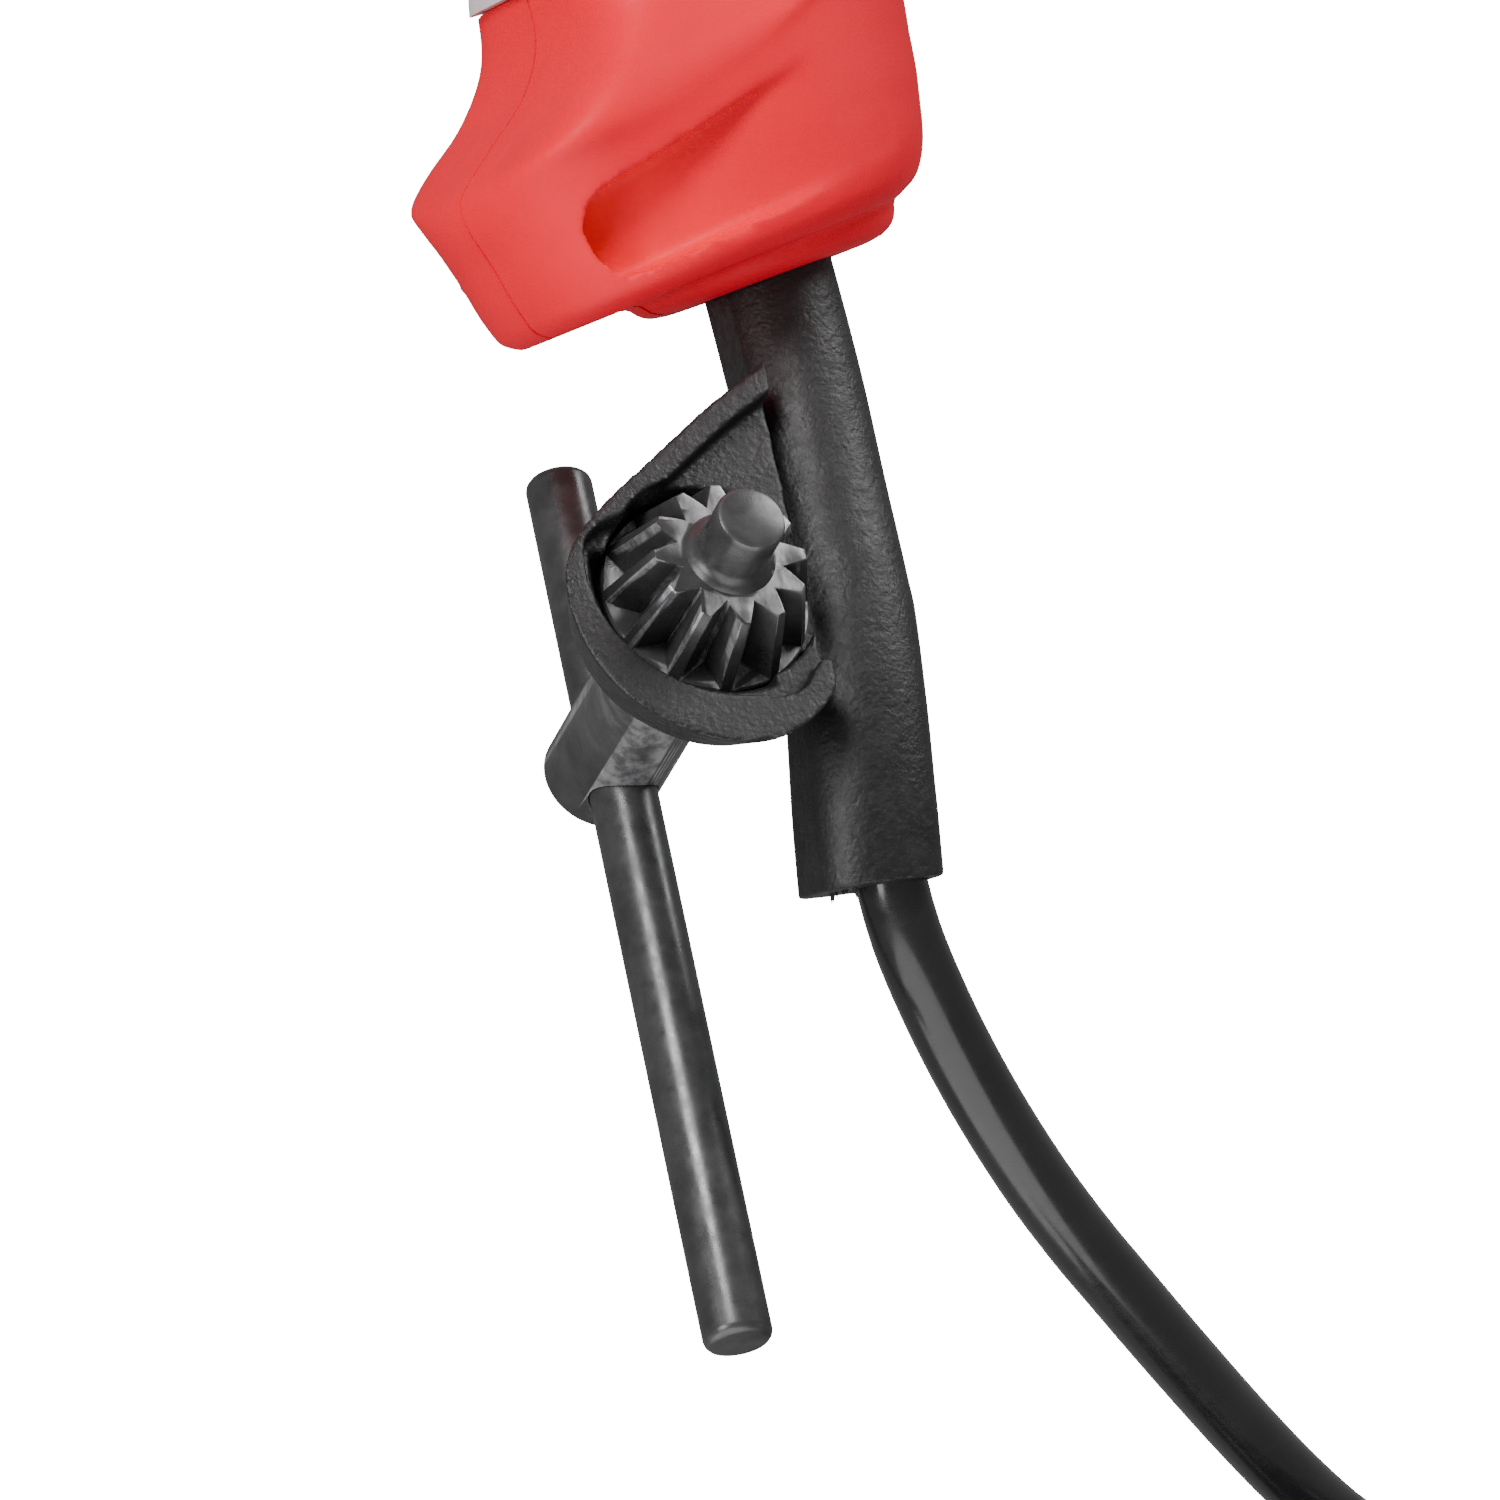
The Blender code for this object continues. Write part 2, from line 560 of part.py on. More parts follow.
def drive():
    """Armature, gears, bearings and spindle."""
    axis = (1, 0, 0)
    motor, spindle = (0, MOTOR_Y, AXIS_Z), (0, SPINDLE_Y, AXIS_Z)
    shaft_profile = (
        (0, 81), (2.8, 81), (2.8, 70), (4.0, 69.5), (4.0, -30), (3.0, -30.5), (3.0, -42.3), (1.9, -42.8),
        (1.9, -56), (0, -56),
    )
    turned("armature_shaft", shaft_profile, motor, axis, "steel", 20)
    toward_gear = facing(axis, motor)
    pinion = prism("motor_pinion", toothed(PINION_TEETH, 2.5, 3.75, 0.26, 0.1, gear_phase(False)),
                   -54, -44, toward_gear, "steel")
    combine(pinion, [cylinder("pinion_bore", (-40, MOTOR_Y, AXIS_Z), (-60, MOTOR_Y, AXIS_Z), 2.1, sides=16)])
    wheel = prism("spindle_gear", toothed(GEAR_TEETH, 13.9, 15.3, 0.26, 0.14, gear_phase(True)),
                  -53.5, -44.5, facing(axis, spindle), "steel")
    combine(wheel, [cylinder("gear_bore", (-40, SPINDLE_Y, AXIS_Z), (-60, SPINDLE_Y, AXIS_Z), 6.3)])
    spindle_profile = (
        (0, -34.6), (4.0, -34.6), (4.0, -42), (6.0, -42.4), (6.0, -56), (7.2, -56), (7.2, -83), (6.0, -83.4),
        (6.0, -97.5), (8.5, -97.5), (8.5, -100.3), (6.1, -100.3), (6.1, -117), (0, -117),
    )
    turned("spindle", spindle_profile, spindle, axis, "steel", 24)
    bearing("spindle_rear_bush", spindle, 4.3, 6.5, -40.2, -34.6, "brass")
    bearing("spindle_front_bearing", spindle, 6.3, 11.0, -96.5, -84.3, "steel")
    bearing("motor_front_bearing", motor, 3.3, 9.5, -40.2, -34.4, "steel")
    bearing("motor_rear_bearing", motor, 3.1, 9.5, 72.0, 78.0, "steel")
    ring("stator_core", 17.6, 27, 0, 36, motor, axis, "laminations", 32)
    for end, low in (("front", -9.7), ("rear", 36.3)):
        ring(f"field_coil_{end}", 18.0, 25.0, low, low + 9.4, motor, axis, "copper", 24)
    slots = []
    for i in range(12):
        middle = math.tau * i / 12
        for r, a in ((17.0, -11), (17.0, 11), (11.0, 11.6), (11.0, 18.4)):
            angle = middle + math.radians(a)
            slots.append((r * math.cos(angle), r * math.sin(angle)))
    core = prism("armature_core", slots, 0.5, 35.5, facing(axis, motor), "laminations")
    combine(core, [cylinder("core_bore", (-5, MOTOR_Y, AXIS_Z), (45, MOTOR_Y, AXIS_Z), 4.3)])
    for end, low in (("front", -6.8), ("rear", 35.8)):
        ring(f"armature_winding_{end}", 4.4, 15.0, low, low + 7, motor, axis, "copper", 24)
    ring("commutator", 4.3, 11.0, 45, 60, motor, axis, "copper", 24)
    fan(motor)
    brushes()


def gear_phase(of_wheel):
    """Angle of the first tooth, so that a wheel tooth points at a gap of the pinion."""
    # the frame that facing() makes has its own X, so the line of centres is turned into it
    local = facing((1, 0, 0), (0, 0, 0)).to_3x3().inverted() @ Vector((0, 1, 0))
    toward = math.atan2(local.y, local.x)
    if of_wheel:
        return toward + math.pi
    return toward + math.pi / PINION_TEETH


def bearing(name, centre, inner, outer, low, high, look):
    ring(name, inner, outer, low, high, centre, (1, 0, 0), look, 24)


def fan(motor):
    """A flat disc with straight blades behind the front bearing."""
    disc = ring("cooling_fan", 4.3, 24.0, -14.6, -13.0, motor, (1, 0, 0), "black_plastic", 24)
    hub = ring("fan_hub", 4.3, 7.5, -24.0, -14.0, motor, (1, 0, 0), sides=24)
    blades = []
    for i in range(9):
        turn = Matrix.Rotation(math.tau * i / 9, 4, "X")
        place = Matrix.Translation(Vector(motor) * MM) @ turn
        blades.append(box(f"blade_{i}", (-22.5, 6.8, -0.8), (-14.2, 23.4, 0.8), frame=place))
    combine(disc, [hub, *blades], "UNION")


def brushes():
    """Holders and carbon brushes above and below the commutator."""
    for place, side in (("upper", 1), ("lower", -1)):
        low, high = sorted((MOTOR_Y + side * 12.2, MOTOR_Y + side * 26.5))
        holder = box(f"brush_holder_{place}", (47.5, low, AXIS_Z - 5), (57.5, high, AXIS_Z + 5), "brass")
        bore = box(f"holder_bore_{place}", (49.2, low - 5, AXIS_Z - 3.3), (55.8, high + 5, AXIS_Z + 3.3))
        combine(holder, [bore])
        low, high = sorted((MOTOR_Y + side * 11.4, MOTOR_Y + side * 24.0))
        box(f"carbon_brush_{place}", (49.5, low, AXIS_Z - 3), (55.5, high, AXIS_Z + 3), "carbon")


# ---- chuck ---------------------------------------------------------------------------------------


def jaw_axis(i):
    """Where jaw i's axis meets the chuck's nose, and its direction, out of the nose."""
    angle = math.tau * i / 3 + math.pi / 2
    outward = Vector((0, math.sin(angle), math.cos(angle)))
    direction = (math.cos(JAW_TILT) * FORWARD_X - math.sin(JAW_TILT) * outward).normalized()
    return Vector((JAW_TIP_X, SPINDLE_Y, AXIS_Z)) + (JAW_R + 0.4) * outward, direction, outward


def chuck():
    centre, axis = (0, SPINDLE_Y, AXIS_Z), (1, 0, 0)
    body_profile = (
        (0, -100.9), (CHUCK_BODY_R - 1, -100.9), (CHUCK_BODY_R, -102), (CHUCK_BODY_R, -122), (17.1, -122),
        (17.1, -138.7), (14.0, -138.7), (14.0, -147.3), (17.1, -147.3), (17.1, -150.5), (15.5, -152),
        (11.0, -159), (0, -159),
    )
    body = turned("chuck_body", body_profile, centre, axis, "black_steel", 30)
    cuts = [
        cylinder("spindle_thread", (-95, SPINDLE_Y, AXIS_Z), (-119, SPINDLE_Y, AXIS_Z), 6.4),
        cylinder("drill_bore", (-120, SPINDLE_Y, AXIS_Z), (-170, SPINDLE_Y, AXIS_Z), 6.6),
    ]
    for i in range(3):
        tip, direction, outward = jaw_axis(i)
        start, end = tip + 12 * direction, tip - JAW_BORE_LENGTH * direction
        cuts.append(cylinder(f"jaw_bore_{i}", start, end, JAW_R + GAP, sides=16))
        start, end = (KEY_HOLE_CENTRE - reach * outward for reach in (11.5, 26.0))
        cuts.append(cylinder(f"key_hole_{i}", start, end, KEY_HOLE_R, sides=20))
    combine(body, cuts)
    for i in range(3):
        tip, direction, outward = jaw_axis(i)
        jaw = cylinder(f"jaw_{i + 1}", tip - JAW_LENGTH * direction, tip + 4 * direction, JAW_R,
                       "steel", sides=16)
        flat = Vector((0, 0, 1)).rotation_difference(outward).to_matrix().to_4x4()
        flat.translation = Vector((0, SPINDLE_Y, AXIS_Z)) * MM
        below = box(f"grip_flat_{i}", (-175, -20, -20), (-120, 20, 0.5), frame=flat)
        nose = box(f"nose_flat_{i}", (-175, -20, -20), (JAW_TIP_X, 20, 20), frame=flat)
        wedge = jaw_wedge(i, outward)
        combine(jaw, [below, nose, *wedge])
    sleeve_profile = (
        (18.2, -123.2), (SLEEVE_R, -129.0), (SLEEVE_R, -147.5), (SLEEVE_R - 1.5, -150.0), (17.4, -150.0),
        (17.4, -123.2),
    )
    sleeve = turned("chuck_sleeve", sleeve_profile, centre, axis, "black_steel", 36, closed=True)
    gaps = toothed(CHUCK_TEETH, 17.0, 26.0, 0.2, 0.27)
    frame = facing(axis, centre)
    bm = bmesh.new()
    for i in range(CHUCK_TEETH):
        gap = gaps[4 * i:4 * i + 4]
        low = [bm.verts.new(frame @ metres(x, y, -128.3)) for x, y in gap]
        high = [bm.verts.new(frame @ metres(x, y, -120.0)) for x, y in gap]
        bm.faces.new(low)
        bm.faces.new(high)
        for k in range(4):
            m = (k + 1) % 4
            bm.faces.new((low[k], low[m], high[m], high[k]))
    combine(sleeve, [from_bmesh("tooth_gaps", bm)])
    ring("chuck_nut", 14.4, 16.8, -147.0, -139.0, centre, axis, "steel", 30)


def jaw_wedge(i, outward):
    """Two flats that bring each jaw's face to 120 degrees, clear of its neighbours."""
    made = []
    for side in (1, -1):
        turn = Matrix.Rotation(side * math.radians(60), 4, "X")
        flat = Vector((0, 0, 1)).rotation_difference(outward).to_matrix().to_4x4()
        place = Matrix.Translation(Vector((0, SPINDLE_Y, AXIS_Z)) * MM) @ turn @ flat
        made.append(box(f"jaw_flat_{i}_{side}", (-175, -20, -20), (-120, 20, 0.25), frame=place))
    return made


# ---- switch and controls -------------------------------------------------------------------------


def controls():
    frame = handle_frame()
    switch = box("switch_body", (-2, -10, 86), (19, 10, 120), "black_plastic", 0.8, frame)
    combine(switch, [box("switch_mouth", (-4, -4.3, 96), (9.3, 4.3, 112), frame=frame),
                     cylinder("lock_pocket", foot(-4, 96, 6), foot(-4, 96, 14), 5.3)])
    front = [(-27.5, 86.0), (-30.0, 92.0), (-30.6, 99.0), (-30.8, 106.0), (-32.8, 113.0), (-35.0, 119.0),
             (-33.6, 122.6)]
    back = [(-13.5, 122.6), (-9.5, 112.0), (-9.5, 90.0), (-14.0, 86.0)]
    place = frame @ Matrix.Rotation(math.pi / 2, 4, "X")
    trigger = prism("trigger", front + back, -7.8, 7.8, place, "black_plastic")
    rounded(trigger, 1.6, 2)
    stem = box("trigger_stem", (-12, -4.0, 96.4), (2.0, 4.0, 111.6), frame=frame)
    combine(trigger, [stem], "UNION")
    dial_centre = foot(-27.0, 106.0)
    pocket = cylinder("dial_pocket", dial_centre - 2.8 * LEFT, dial_centre + 2.8 * LEFT, 6.4)
    combine(trigger, [pocket])
    cylinder("speed_dial", dial_centre - 2.4 * LEFT, dial_centre + 2.4 * LEFT, 6.0, "black_plastic", 20)
    turned("lock_button", ((0, 5.0), (3.6, 5.0), (4.6, 4.0), (4.6, -7.0), (0, -7.0)),
                    foot(-4, 96, 18.8), LEFT, "black_plastic", 24)
    lever_outline = [(-31.0, 127.8), (-31.0, 131.8), (-6.0, 131.8), (-6.0, 127.8)]
    lever = prism("reverse_lever", lever_outline, -2.6, 2.6, place, "black_plastic")
    pivot = cylinder("lever_pivot", foot(-6, 124.0), foot(-6, 131.8), 3.4, sides=16)
    combine(lever, [pivot], "UNION")
    knob = box("lever_knob", (-35.0, -4.2, 127.5), (-29.0, 4.2, 132.1), frame=frame)
    combine(lever, [knob], "UNION")


# ---- cord guard, key and cord --------------------------------------------------------------------


GUARD_ROUTE = (
    FOOT_POINT + 18.6 * UPWARD, FOOT_POINT + 9.0 * UPWARD, FOOT_POINT, FOOT_POINT + Vector((1.3, -12.6, 2.4)),
    FOOT_POINT + Vector((1.4, -25.5, 6.0)), FOOT_POINT + Vector((1.0, -38.0, 10.4)),
    FOOT_POINT + Vector((0.7, -50.0, 13.6)), FOOT_POINT + Vector((1.0, -61.0, 15.0)),
    FOOT_POINT + Vector((2.0, -70.8, 15.1)),
)


def holder_outline(grow=0.0, reach=0.0):
    """The key holder's outline in the key's frame: a round cup that runs out, by reach, past the guard."""
    around = [(math.cos(math.radians(a)), math.sin(math.radians(a))) for a in range(100, 276, 16)]
    cup = [((17.6 + grow) * c - 0.4, (18.6 + grow) * s - 2.6) for c, s in around]
    top = [(16.0 + reach, 27.0 + grow), (8.0 + reach, 24.5 + grow)]
    bottom = [(7.5 + reach, -19.0 - grow), (17.0 + reach, -12.0 - grow)]
    return top + cup + bottom


def guard():
    """The rubber guard with its flange in the foot, and the cup that holds the key."""
    route = smooth_route(GUARD_ROUTE, 15)
    sleeve = solid(tube("cord_guard", route, GUARD_R, "rubber", 4))
    sleeve.data.materials.append(material("cord_guard", *LOOKS["rubber"]))
    flange = box("guard_flange", (-10, -10, 10), (10, 10, 13.7), frame=handle_frame())
    frame = Matrix((KEY_SIDE, KEY_UP, KEY_AXIS)).transposed().to_4x4()
    frame.translation = KEY_FACE * MM
    plate = prism("holder_plate", holder_outline(), -HOLDER_BACK - HOLDER_PLATE,
                  HOLDER_RIM - HOLDER_BACK, frame)
    cup = prism("holder_cup", holder_outline(-HOLDER_WALL, 40.0), -HOLDER_BACK, 20, frame)
    keep_out = prism("holder_far", [(13.6, 60), (60, 60), (60, -60), (13.6, -60)], -40, 30, frame)
    combine(plate, [cup, keep_out])
    key_hole = cylinder("shank_hole", key_point(0, 0, -4), key_point(0, 0, -24), KEY_SHANK_R + GAP)
    gear_room = cylinder("gear_room", key_point(0, 0, -HOLDER_BACK), key_point(0, 0, 14), KEY_BIG_R + 1.0)
    combine(sleeve, [flange, plate], "UNION")
    end = route[-1]
    tail = (route[-1] - route[-2]).normalized()
    socket = cylinder("cord_socket", end - 3.0 * tail, end + 3 * tail, CORD_BORE_R)
    head = cylinder("clamp_mouth", route[0] - 3.0 * UPWARD, route[0] + 3 * UPWARD, CORD_BORE_R)
    combine(sleeve, [key_hole, gear_room, socket, head])
    clamp = box("cord_clamp", (-13, -5, 22.6), (13, 5, 29.6), "black_plastic", 0.8, handle_frame())
    combine(clamp, [cylinder("clamp_groove", foot(0, 20), foot(0, 34), CORD_BORE_R)])
    profile = ((0, 2.0), (2.4, 2.0), (2.4, 0), (1.2, 0), (1.2, -11), (0, -11))
    for i, g in enumerate((-9.2, 9.2)):
        turned(f"cord_clamp_screw_{i + 1}", profile, foot(g, 26.0, 5.4), LEFT, "steel", sides=10)
        combine(clamp, [cylinder(f"clamp_hole_{i}", foot(g, 26.0, 8), foot(g, 26.0, -8), 1.5, sides=10)])


def key_teeth(tip, root):
    """Alternate tip and gap points of the key's bevel gear."""
    return toothed(KEY_TEETH, root, tip, 0.33, 0.1)


def chuck_key():
    frame = Matrix((KEY_SIDE, KEY_UP, KEY_AXIS)).transposed().to_4x4()
    frame.translation = KEY_FACE * MM
    rings = []
    for out, tip, root in ((0.0, KEY_TIP_R, 6.3), (-KEY_TOOTH_LENGTH, KEY_BIG_R, 9.4)):
        rings.append([key_point(x, y, out) for x, y in key_teeth(tip, root)])
    gear = loft("chuck_key", rings, "black_steel")
    back = -KEY_TOOTH_LENGTH - KEY_FLANGE_LENGTH
    flange = cylinder("key_flange", key_point(0, 0, back), key_point(0, 0, -KEY_TOOTH_LENGTH + 0.2),
                      KEY_FLANGE_R, sides=36)
    shank = turned("key_shank", (
        (0, KEY_PILOT_LENGTH), (KEY_PILOT_R - 0.6, KEY_PILOT_LENGTH), (KEY_PILOT_R, KEY_PILOT_LENGTH - 0.6),
        (KEY_PILOT_R, -3), (KEY_SHANK_R, -4), (KEY_SHANK_R, -KEY_SHANK_END + 1),
        (KEY_SHANK_R - 1, -KEY_SHANK_END), (0, -KEY_SHANK_END)), KEY_FACE, KEY_AXIS, sides=24)
    combine(gear, [flange, shank], "UNION")
    bar_top, bar_low = key_point(0, KEY_BAR_UP, -KEY_BAR_BACK), key_point(0, -KEY_BAR_DOWN, -KEY_BAR_BACK)
    combine(gear, [cylinder("bar_hole", bar_top, bar_low, KEY_BAR_R + GAP)])
    cylinder("key_bar", bar_top, bar_low, KEY_BAR_R, "black_steel", 20, 0.5)


def cord():
    """The free cord and its coil with a tie."""
    tube("cord_lead", smooth_route(CORD_ROUTE, 24), CORD_R, "cord", 2)
    x, y = COIL_CENTRE
    low, high, corner = COIL_R - COIL_WIDTH / 2, COIL_R + COIL_WIDTH / 2, 4.0
    profile = (
        (low, COIL_HIGH - corner), (low + corner, COIL_HIGH), (high - corner, COIL_HIGH),
        (high, COIL_HIGH - corner), (high, COIL_LOW + corner), (high - corner, COIL_LOW),
        (low + corner, COIL_LOW), (low, COIL_LOW + corner),
    )
    turned("cord_coil", profile, (x, y, 0), (0, 0, 1), "cord", 28, closed=True)
    slack = TIE_THICK + 1.0
    tie = box("coil_tie", (x + low - slack, y - TIE_WIDTH / 2, 0),
              (x + high + slack, y + TIE_WIDTH / 2, COIL_HIGH + slack), "black_plastic")
    room = box("tie_room", (x + low - 1, y - TIE_WIDTH, TIE_THICK),
               (x + high + 1, y + TIE_WIDTH, COIL_HIGH + 1))
    combine(tie, [room])


def plug():
    """The cord's far end: its last turn rises off the coil into a two-pin plug that lies on it."""
    x, y = COIL_CENTRE
    z = COIL_HIGH + GAP + PLUG_THICK / 2
    tail = []
    for i in range(9):
        angle = math.radians(-90 + 50 * (1 - i / 8))
        rise = (COIL_HIGH + CORD_R + GAP) + (z - COIL_HIGH - CORD_R - GAP) * math.sin(math.pi / 2 * i / 8)
        tail.append((x + PLUG_R * math.cos(angle), y + PLUG_R * math.sin(angle), rise))
    tail[-1] = (x + GAP, y - PLUG_R, z)
    tube("cord_tail", tail, CORD_R, "cord", 2)
    y -= PLUG_R
    cylinder("plug_strain_relief", (x, y, z), (x - RELIEF_LONG, y, z), 5.0, "rubber", 20, end_radius=7.0)
    end = x - RELIEF_LONG - GAP
    box("plug_body", (end - PLUG_LONG, y - PLUG_WIDE / 2, z - PLUG_THICK / 2),
        (end, y + PLUG_WIDE / 2, z + PLUG_THICK / 2), "rubber", 4.0)
    end -= PLUG_LONG + GAP
    for i, middle in enumerate((y + PIN_PITCH / 2, y - PIN_PITCH / 2)):
        box(f"plug_pin_{i + 1}", (end - PIN_LONG, middle - PIN_THICK / 2, z - PIN_WIDE / 2),
            (end, middle + PIN_THICK / 2, z + PIN_WIDE / 2), "brass")


def main():
    for made in list(bpy.data.objects):
        bpy.data.objects.remove(made)
    bpy.context.scene.collection.children.link(PART)
    bpy.context.scene.collection.children.link(CUTTERS)
    housing()
    housing_fasteners()
    gear_case()
    drive()
    chuck()
    controls()
    guard()
    chuck_key()
    cord()
    plug()


main()
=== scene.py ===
"""The looks of the corded drill: fine shells, cord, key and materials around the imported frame.

Sizes are in millimetres, as in the part's source, and the helpers turn them into metres.
"""

import json
import math
import random

import bmesh
import bpy
from mathutils import Matrix, Vector


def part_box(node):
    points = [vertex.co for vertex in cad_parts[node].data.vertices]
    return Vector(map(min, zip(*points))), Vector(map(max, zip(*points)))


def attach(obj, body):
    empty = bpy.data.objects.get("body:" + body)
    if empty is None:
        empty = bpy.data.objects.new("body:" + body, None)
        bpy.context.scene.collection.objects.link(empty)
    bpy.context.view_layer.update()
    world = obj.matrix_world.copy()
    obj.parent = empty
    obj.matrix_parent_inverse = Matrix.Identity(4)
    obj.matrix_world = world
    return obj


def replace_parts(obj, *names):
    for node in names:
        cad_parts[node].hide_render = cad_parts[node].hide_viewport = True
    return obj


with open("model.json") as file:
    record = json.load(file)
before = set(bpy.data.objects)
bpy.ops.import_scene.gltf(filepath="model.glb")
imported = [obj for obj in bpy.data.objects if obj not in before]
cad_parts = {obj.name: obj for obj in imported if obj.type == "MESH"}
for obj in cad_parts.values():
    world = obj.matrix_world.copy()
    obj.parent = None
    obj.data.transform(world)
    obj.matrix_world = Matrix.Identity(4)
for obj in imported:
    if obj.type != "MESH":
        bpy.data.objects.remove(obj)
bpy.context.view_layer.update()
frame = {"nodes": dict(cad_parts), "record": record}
RECORD = frame["record"]
BODY_OF = {n: body for body, nodes in RECORD["behaviour"]["bodies"].items() for n in nodes}
SLOT_OF = {s["node"]: s["material_slot"] for s in RECORD["subparts"]}

# ---- driving dimensions, as in the part's source -------------------------------------------------
MM = 0.001
WALL = 2.6
SCOOP_WALL, SCOOP_DEPTH, SCOOP_END = 2.2, 10.4, 3.0
AXIS_Z = 37.0
SPLIT = 0.5  # gap between the housing halves
SPINDLE_Y = 14.0
RAKE = math.radians(14)
FOOT_X, FOOT_Y = 45.0, -160.0
BASE_SLOPE = 0.128
REAR_SQUARENESS = 2.5
RING_POINTS = 96
FINE = 64  # sides of a turned piece
GUARD_R, CORD_R = 7.6, 4.1
GUARD_STEP = 0.70  # below this share of its length the guard is boxier
KEY_TEETH = 12
KEY_BIG_R, KEY_FLANGE_R = 12.03, 12.1
KEY_TOOTH_LENGTH, KEY_FLANGE_LENGTH = 9.1, 1.2
KEY_PILOT_R, KEY_PILOT_LENGTH = 4.0, 7.7
KEY_SHANK_R, KEY_SHANK_END = 6.8, 50.0
KEY_BAR_R, KEY_BAR_BACK = 3.95, 43.5
KEY_BAR_UP, KEY_BAR_DOWN = 36.5, 75.0
HOLDER_BACK, HOLDER_PLATE, HOLDER_RIM = 10.6, 3.2, 7.0
HOLDER_TAPER, HOLDER_FIXED = 0.83, (4.0, 10.0)  # the cup narrows towards its back, about this point
HOLDER_WALL = 3.0
CUP_R = 15.6  # inner radius of the cup around the gear
RIM_STEP = 2.8  # height of the rim above the plate
RIM_END = 10.9  # the rim stops short of the guard
COIL_CENTRE, COIL_R, COIL_PITCH = Vector((139.0, -367.0, 0.0)), 46.0, 8.35
COIL_FLOOR = 5.5  # centre height of the lowest turns
PLUG_Z = 34.4

# profile of the handle: height above the foot, front, rear, half width, squareness of its front
HANDLE = (
    (0.0, -29.3, 15.5, 18.2, 2.8), (0.9, -31.0, 18.0, 19.8, 2.8), (3.0, -32.2, 20.0, 20.8, 2.8),
    (9.6, -34.3, 22.4, 21.3, 2.9), (15.0, -36.1, 23.3, 21.6, 3.1), (17.6, -35.8, 23.8, 21.8, 4.0),
    (20.0, -33.2, 24.2, 22.0, 7.0), (23.0, -29.6, 24.6, 21.8, 8.4), (27.0, -24.6, 24.8, 21.0, 8.4),
    (33.0, -20.9, 26.0, 19.8, 6.2), (42.0, -20.7, 26.8, 18.8, 4.2), (60.0, -20.5, 28.0, 18.2, 2.8),
    (80.0, -19.8, 27.8, 18.0, 2.6), (100.0, -19.6, 26.0, 18.6, 2.5), (118.0, -21.0, 25.0, 20.0, 2.5),
    (134.0, -25.0, 28.0, 23.0, 2.4), (150.0, -30.0, 33.0, 26.0, 2.3),
)
# motor housing: x, centre y, half height, half width, squareness
BARREL = (
    (-37.0, 5.0, 32.0, 31.0, 2.3), (-27.0, 3.5, 34.0, 33.6, 2.4), (-8.0, 1.0, 36.2, 35.9, 2.4),
    (20.0, 0.0, 36.6, 36.4, 2.4), (56.0, 0.0, 36.2, 36.2, 2.4), (78.0, 0.0, 34.2, 34.4, 2.5),
    (88.0, 0.0, 29.6, 30.2, 2.6), (92.0, 0.0, 23.5, 24.5, 2.6),
)
GEAR_CASE = (
    (-37.3, 5.0, 32.0, 31.0, 2.3), (-52.0, 7.0, 30.5, 29.5, 2.2), (-66.0, 10.0, 27.0, 26.5, 2.1),
    (-78.0, 13.0, 22.6, 22.6, 2.0), (-82.0, SPINDLE_Y, 21.5, 21.5, 2.0), (-97.0, SPINDLE_Y, 21.5, 21.5, 2.0),
)
BARREL_SCREWS = ((-20.0, 30.6), (60.0, 30.2), (62.0, -30.0))
HANDLE_SCREWS = ((-27.0, 10.0), (17.0, 34.0), (18.5, 78.0))
# how far a section's sides are swept up towards the rear, by its height: the shoulder's sweep
SWEEP = ((0.0, 0.0), (3.0, 0.0), (9.6, 0.28), (15.0, 0.7), (17.6, 1.0), (20.0, 0.98), (23.0, 0.9),
         (27.0, 0.78), (33.0, 0.56), (42.0, 0.25), (60.0, 0.0), (150.0, 0.0))
SWEEP_CURVE = 0.0072  # rise per square millimetre behind the toe
# upper and lower edge of the scoop in the side of the foot: g, h
SCOOP_TOP = (
    (-30.1, 10.4), (-29.9, 11.4), (-29.3, 12.5), (-28.3, 13.4), (-26.8, 14.1), (-21.2, 15.6), (-15.8, 17.3),
    (-11.1, 18.8), (-5.6, 20.7), (1.8, 23.5), (10.0, 27.5),
)
SCOOP_BASE = (
    (-30.1, 10.0), (-29.8, 8.6), (-29.4, 7.2), (-28.9, 5.9), (-28.3, 4.9), (-27.5, 4.1), (-26.6, 3.7),
    (-23.6, 3.8), (-17.2, 4.9), (-10.3, 6.2), (-2.9, 7.5), (10.0, 10.5),
)
SCOOP_STEPS = 80
CORD_HIDDEN = 2.6  # length of cord inside the guard's mouth
# the key holder's outer edge in the key's frame: side, up
HOLDER = (
    (12.5, 28.6), (8.3, 25.6), (2.8, 21.6), (-5.5, 14.5), (-12.4, 8.5), (-17.1, 2.8), (-18.5, -3.1),
    (-17.4, -9.7), (-13.8, -15.9), (-7.1, -20.4), (-1.0, -21.8), (4.0, -20.8), (8.7, -17.5), (12.0, -13.0),
)
CORD_ROUTE = (
    (47.2, -231.2, 52.1), (48.8, -236.3, 51.6), (51.6, -241.8, 50.5), (56.2, -248.5, 48.2),
    (62.4, -255.9, 45.0), (70.0, -263.5, 41.0), (77.9, -270.1, 36.8), (85.0, -275.3, 33.0),
    (92.5, -280.6, 28.8), (100.9, -286.3, 24.0), (109.9, -292.3, 19.0), (119.0, -298.2, 14.4),
    (128.3, -303.6, 10.2), (136.5, -307.4, 7.3), (145.4, -311.2, 5.8),
)
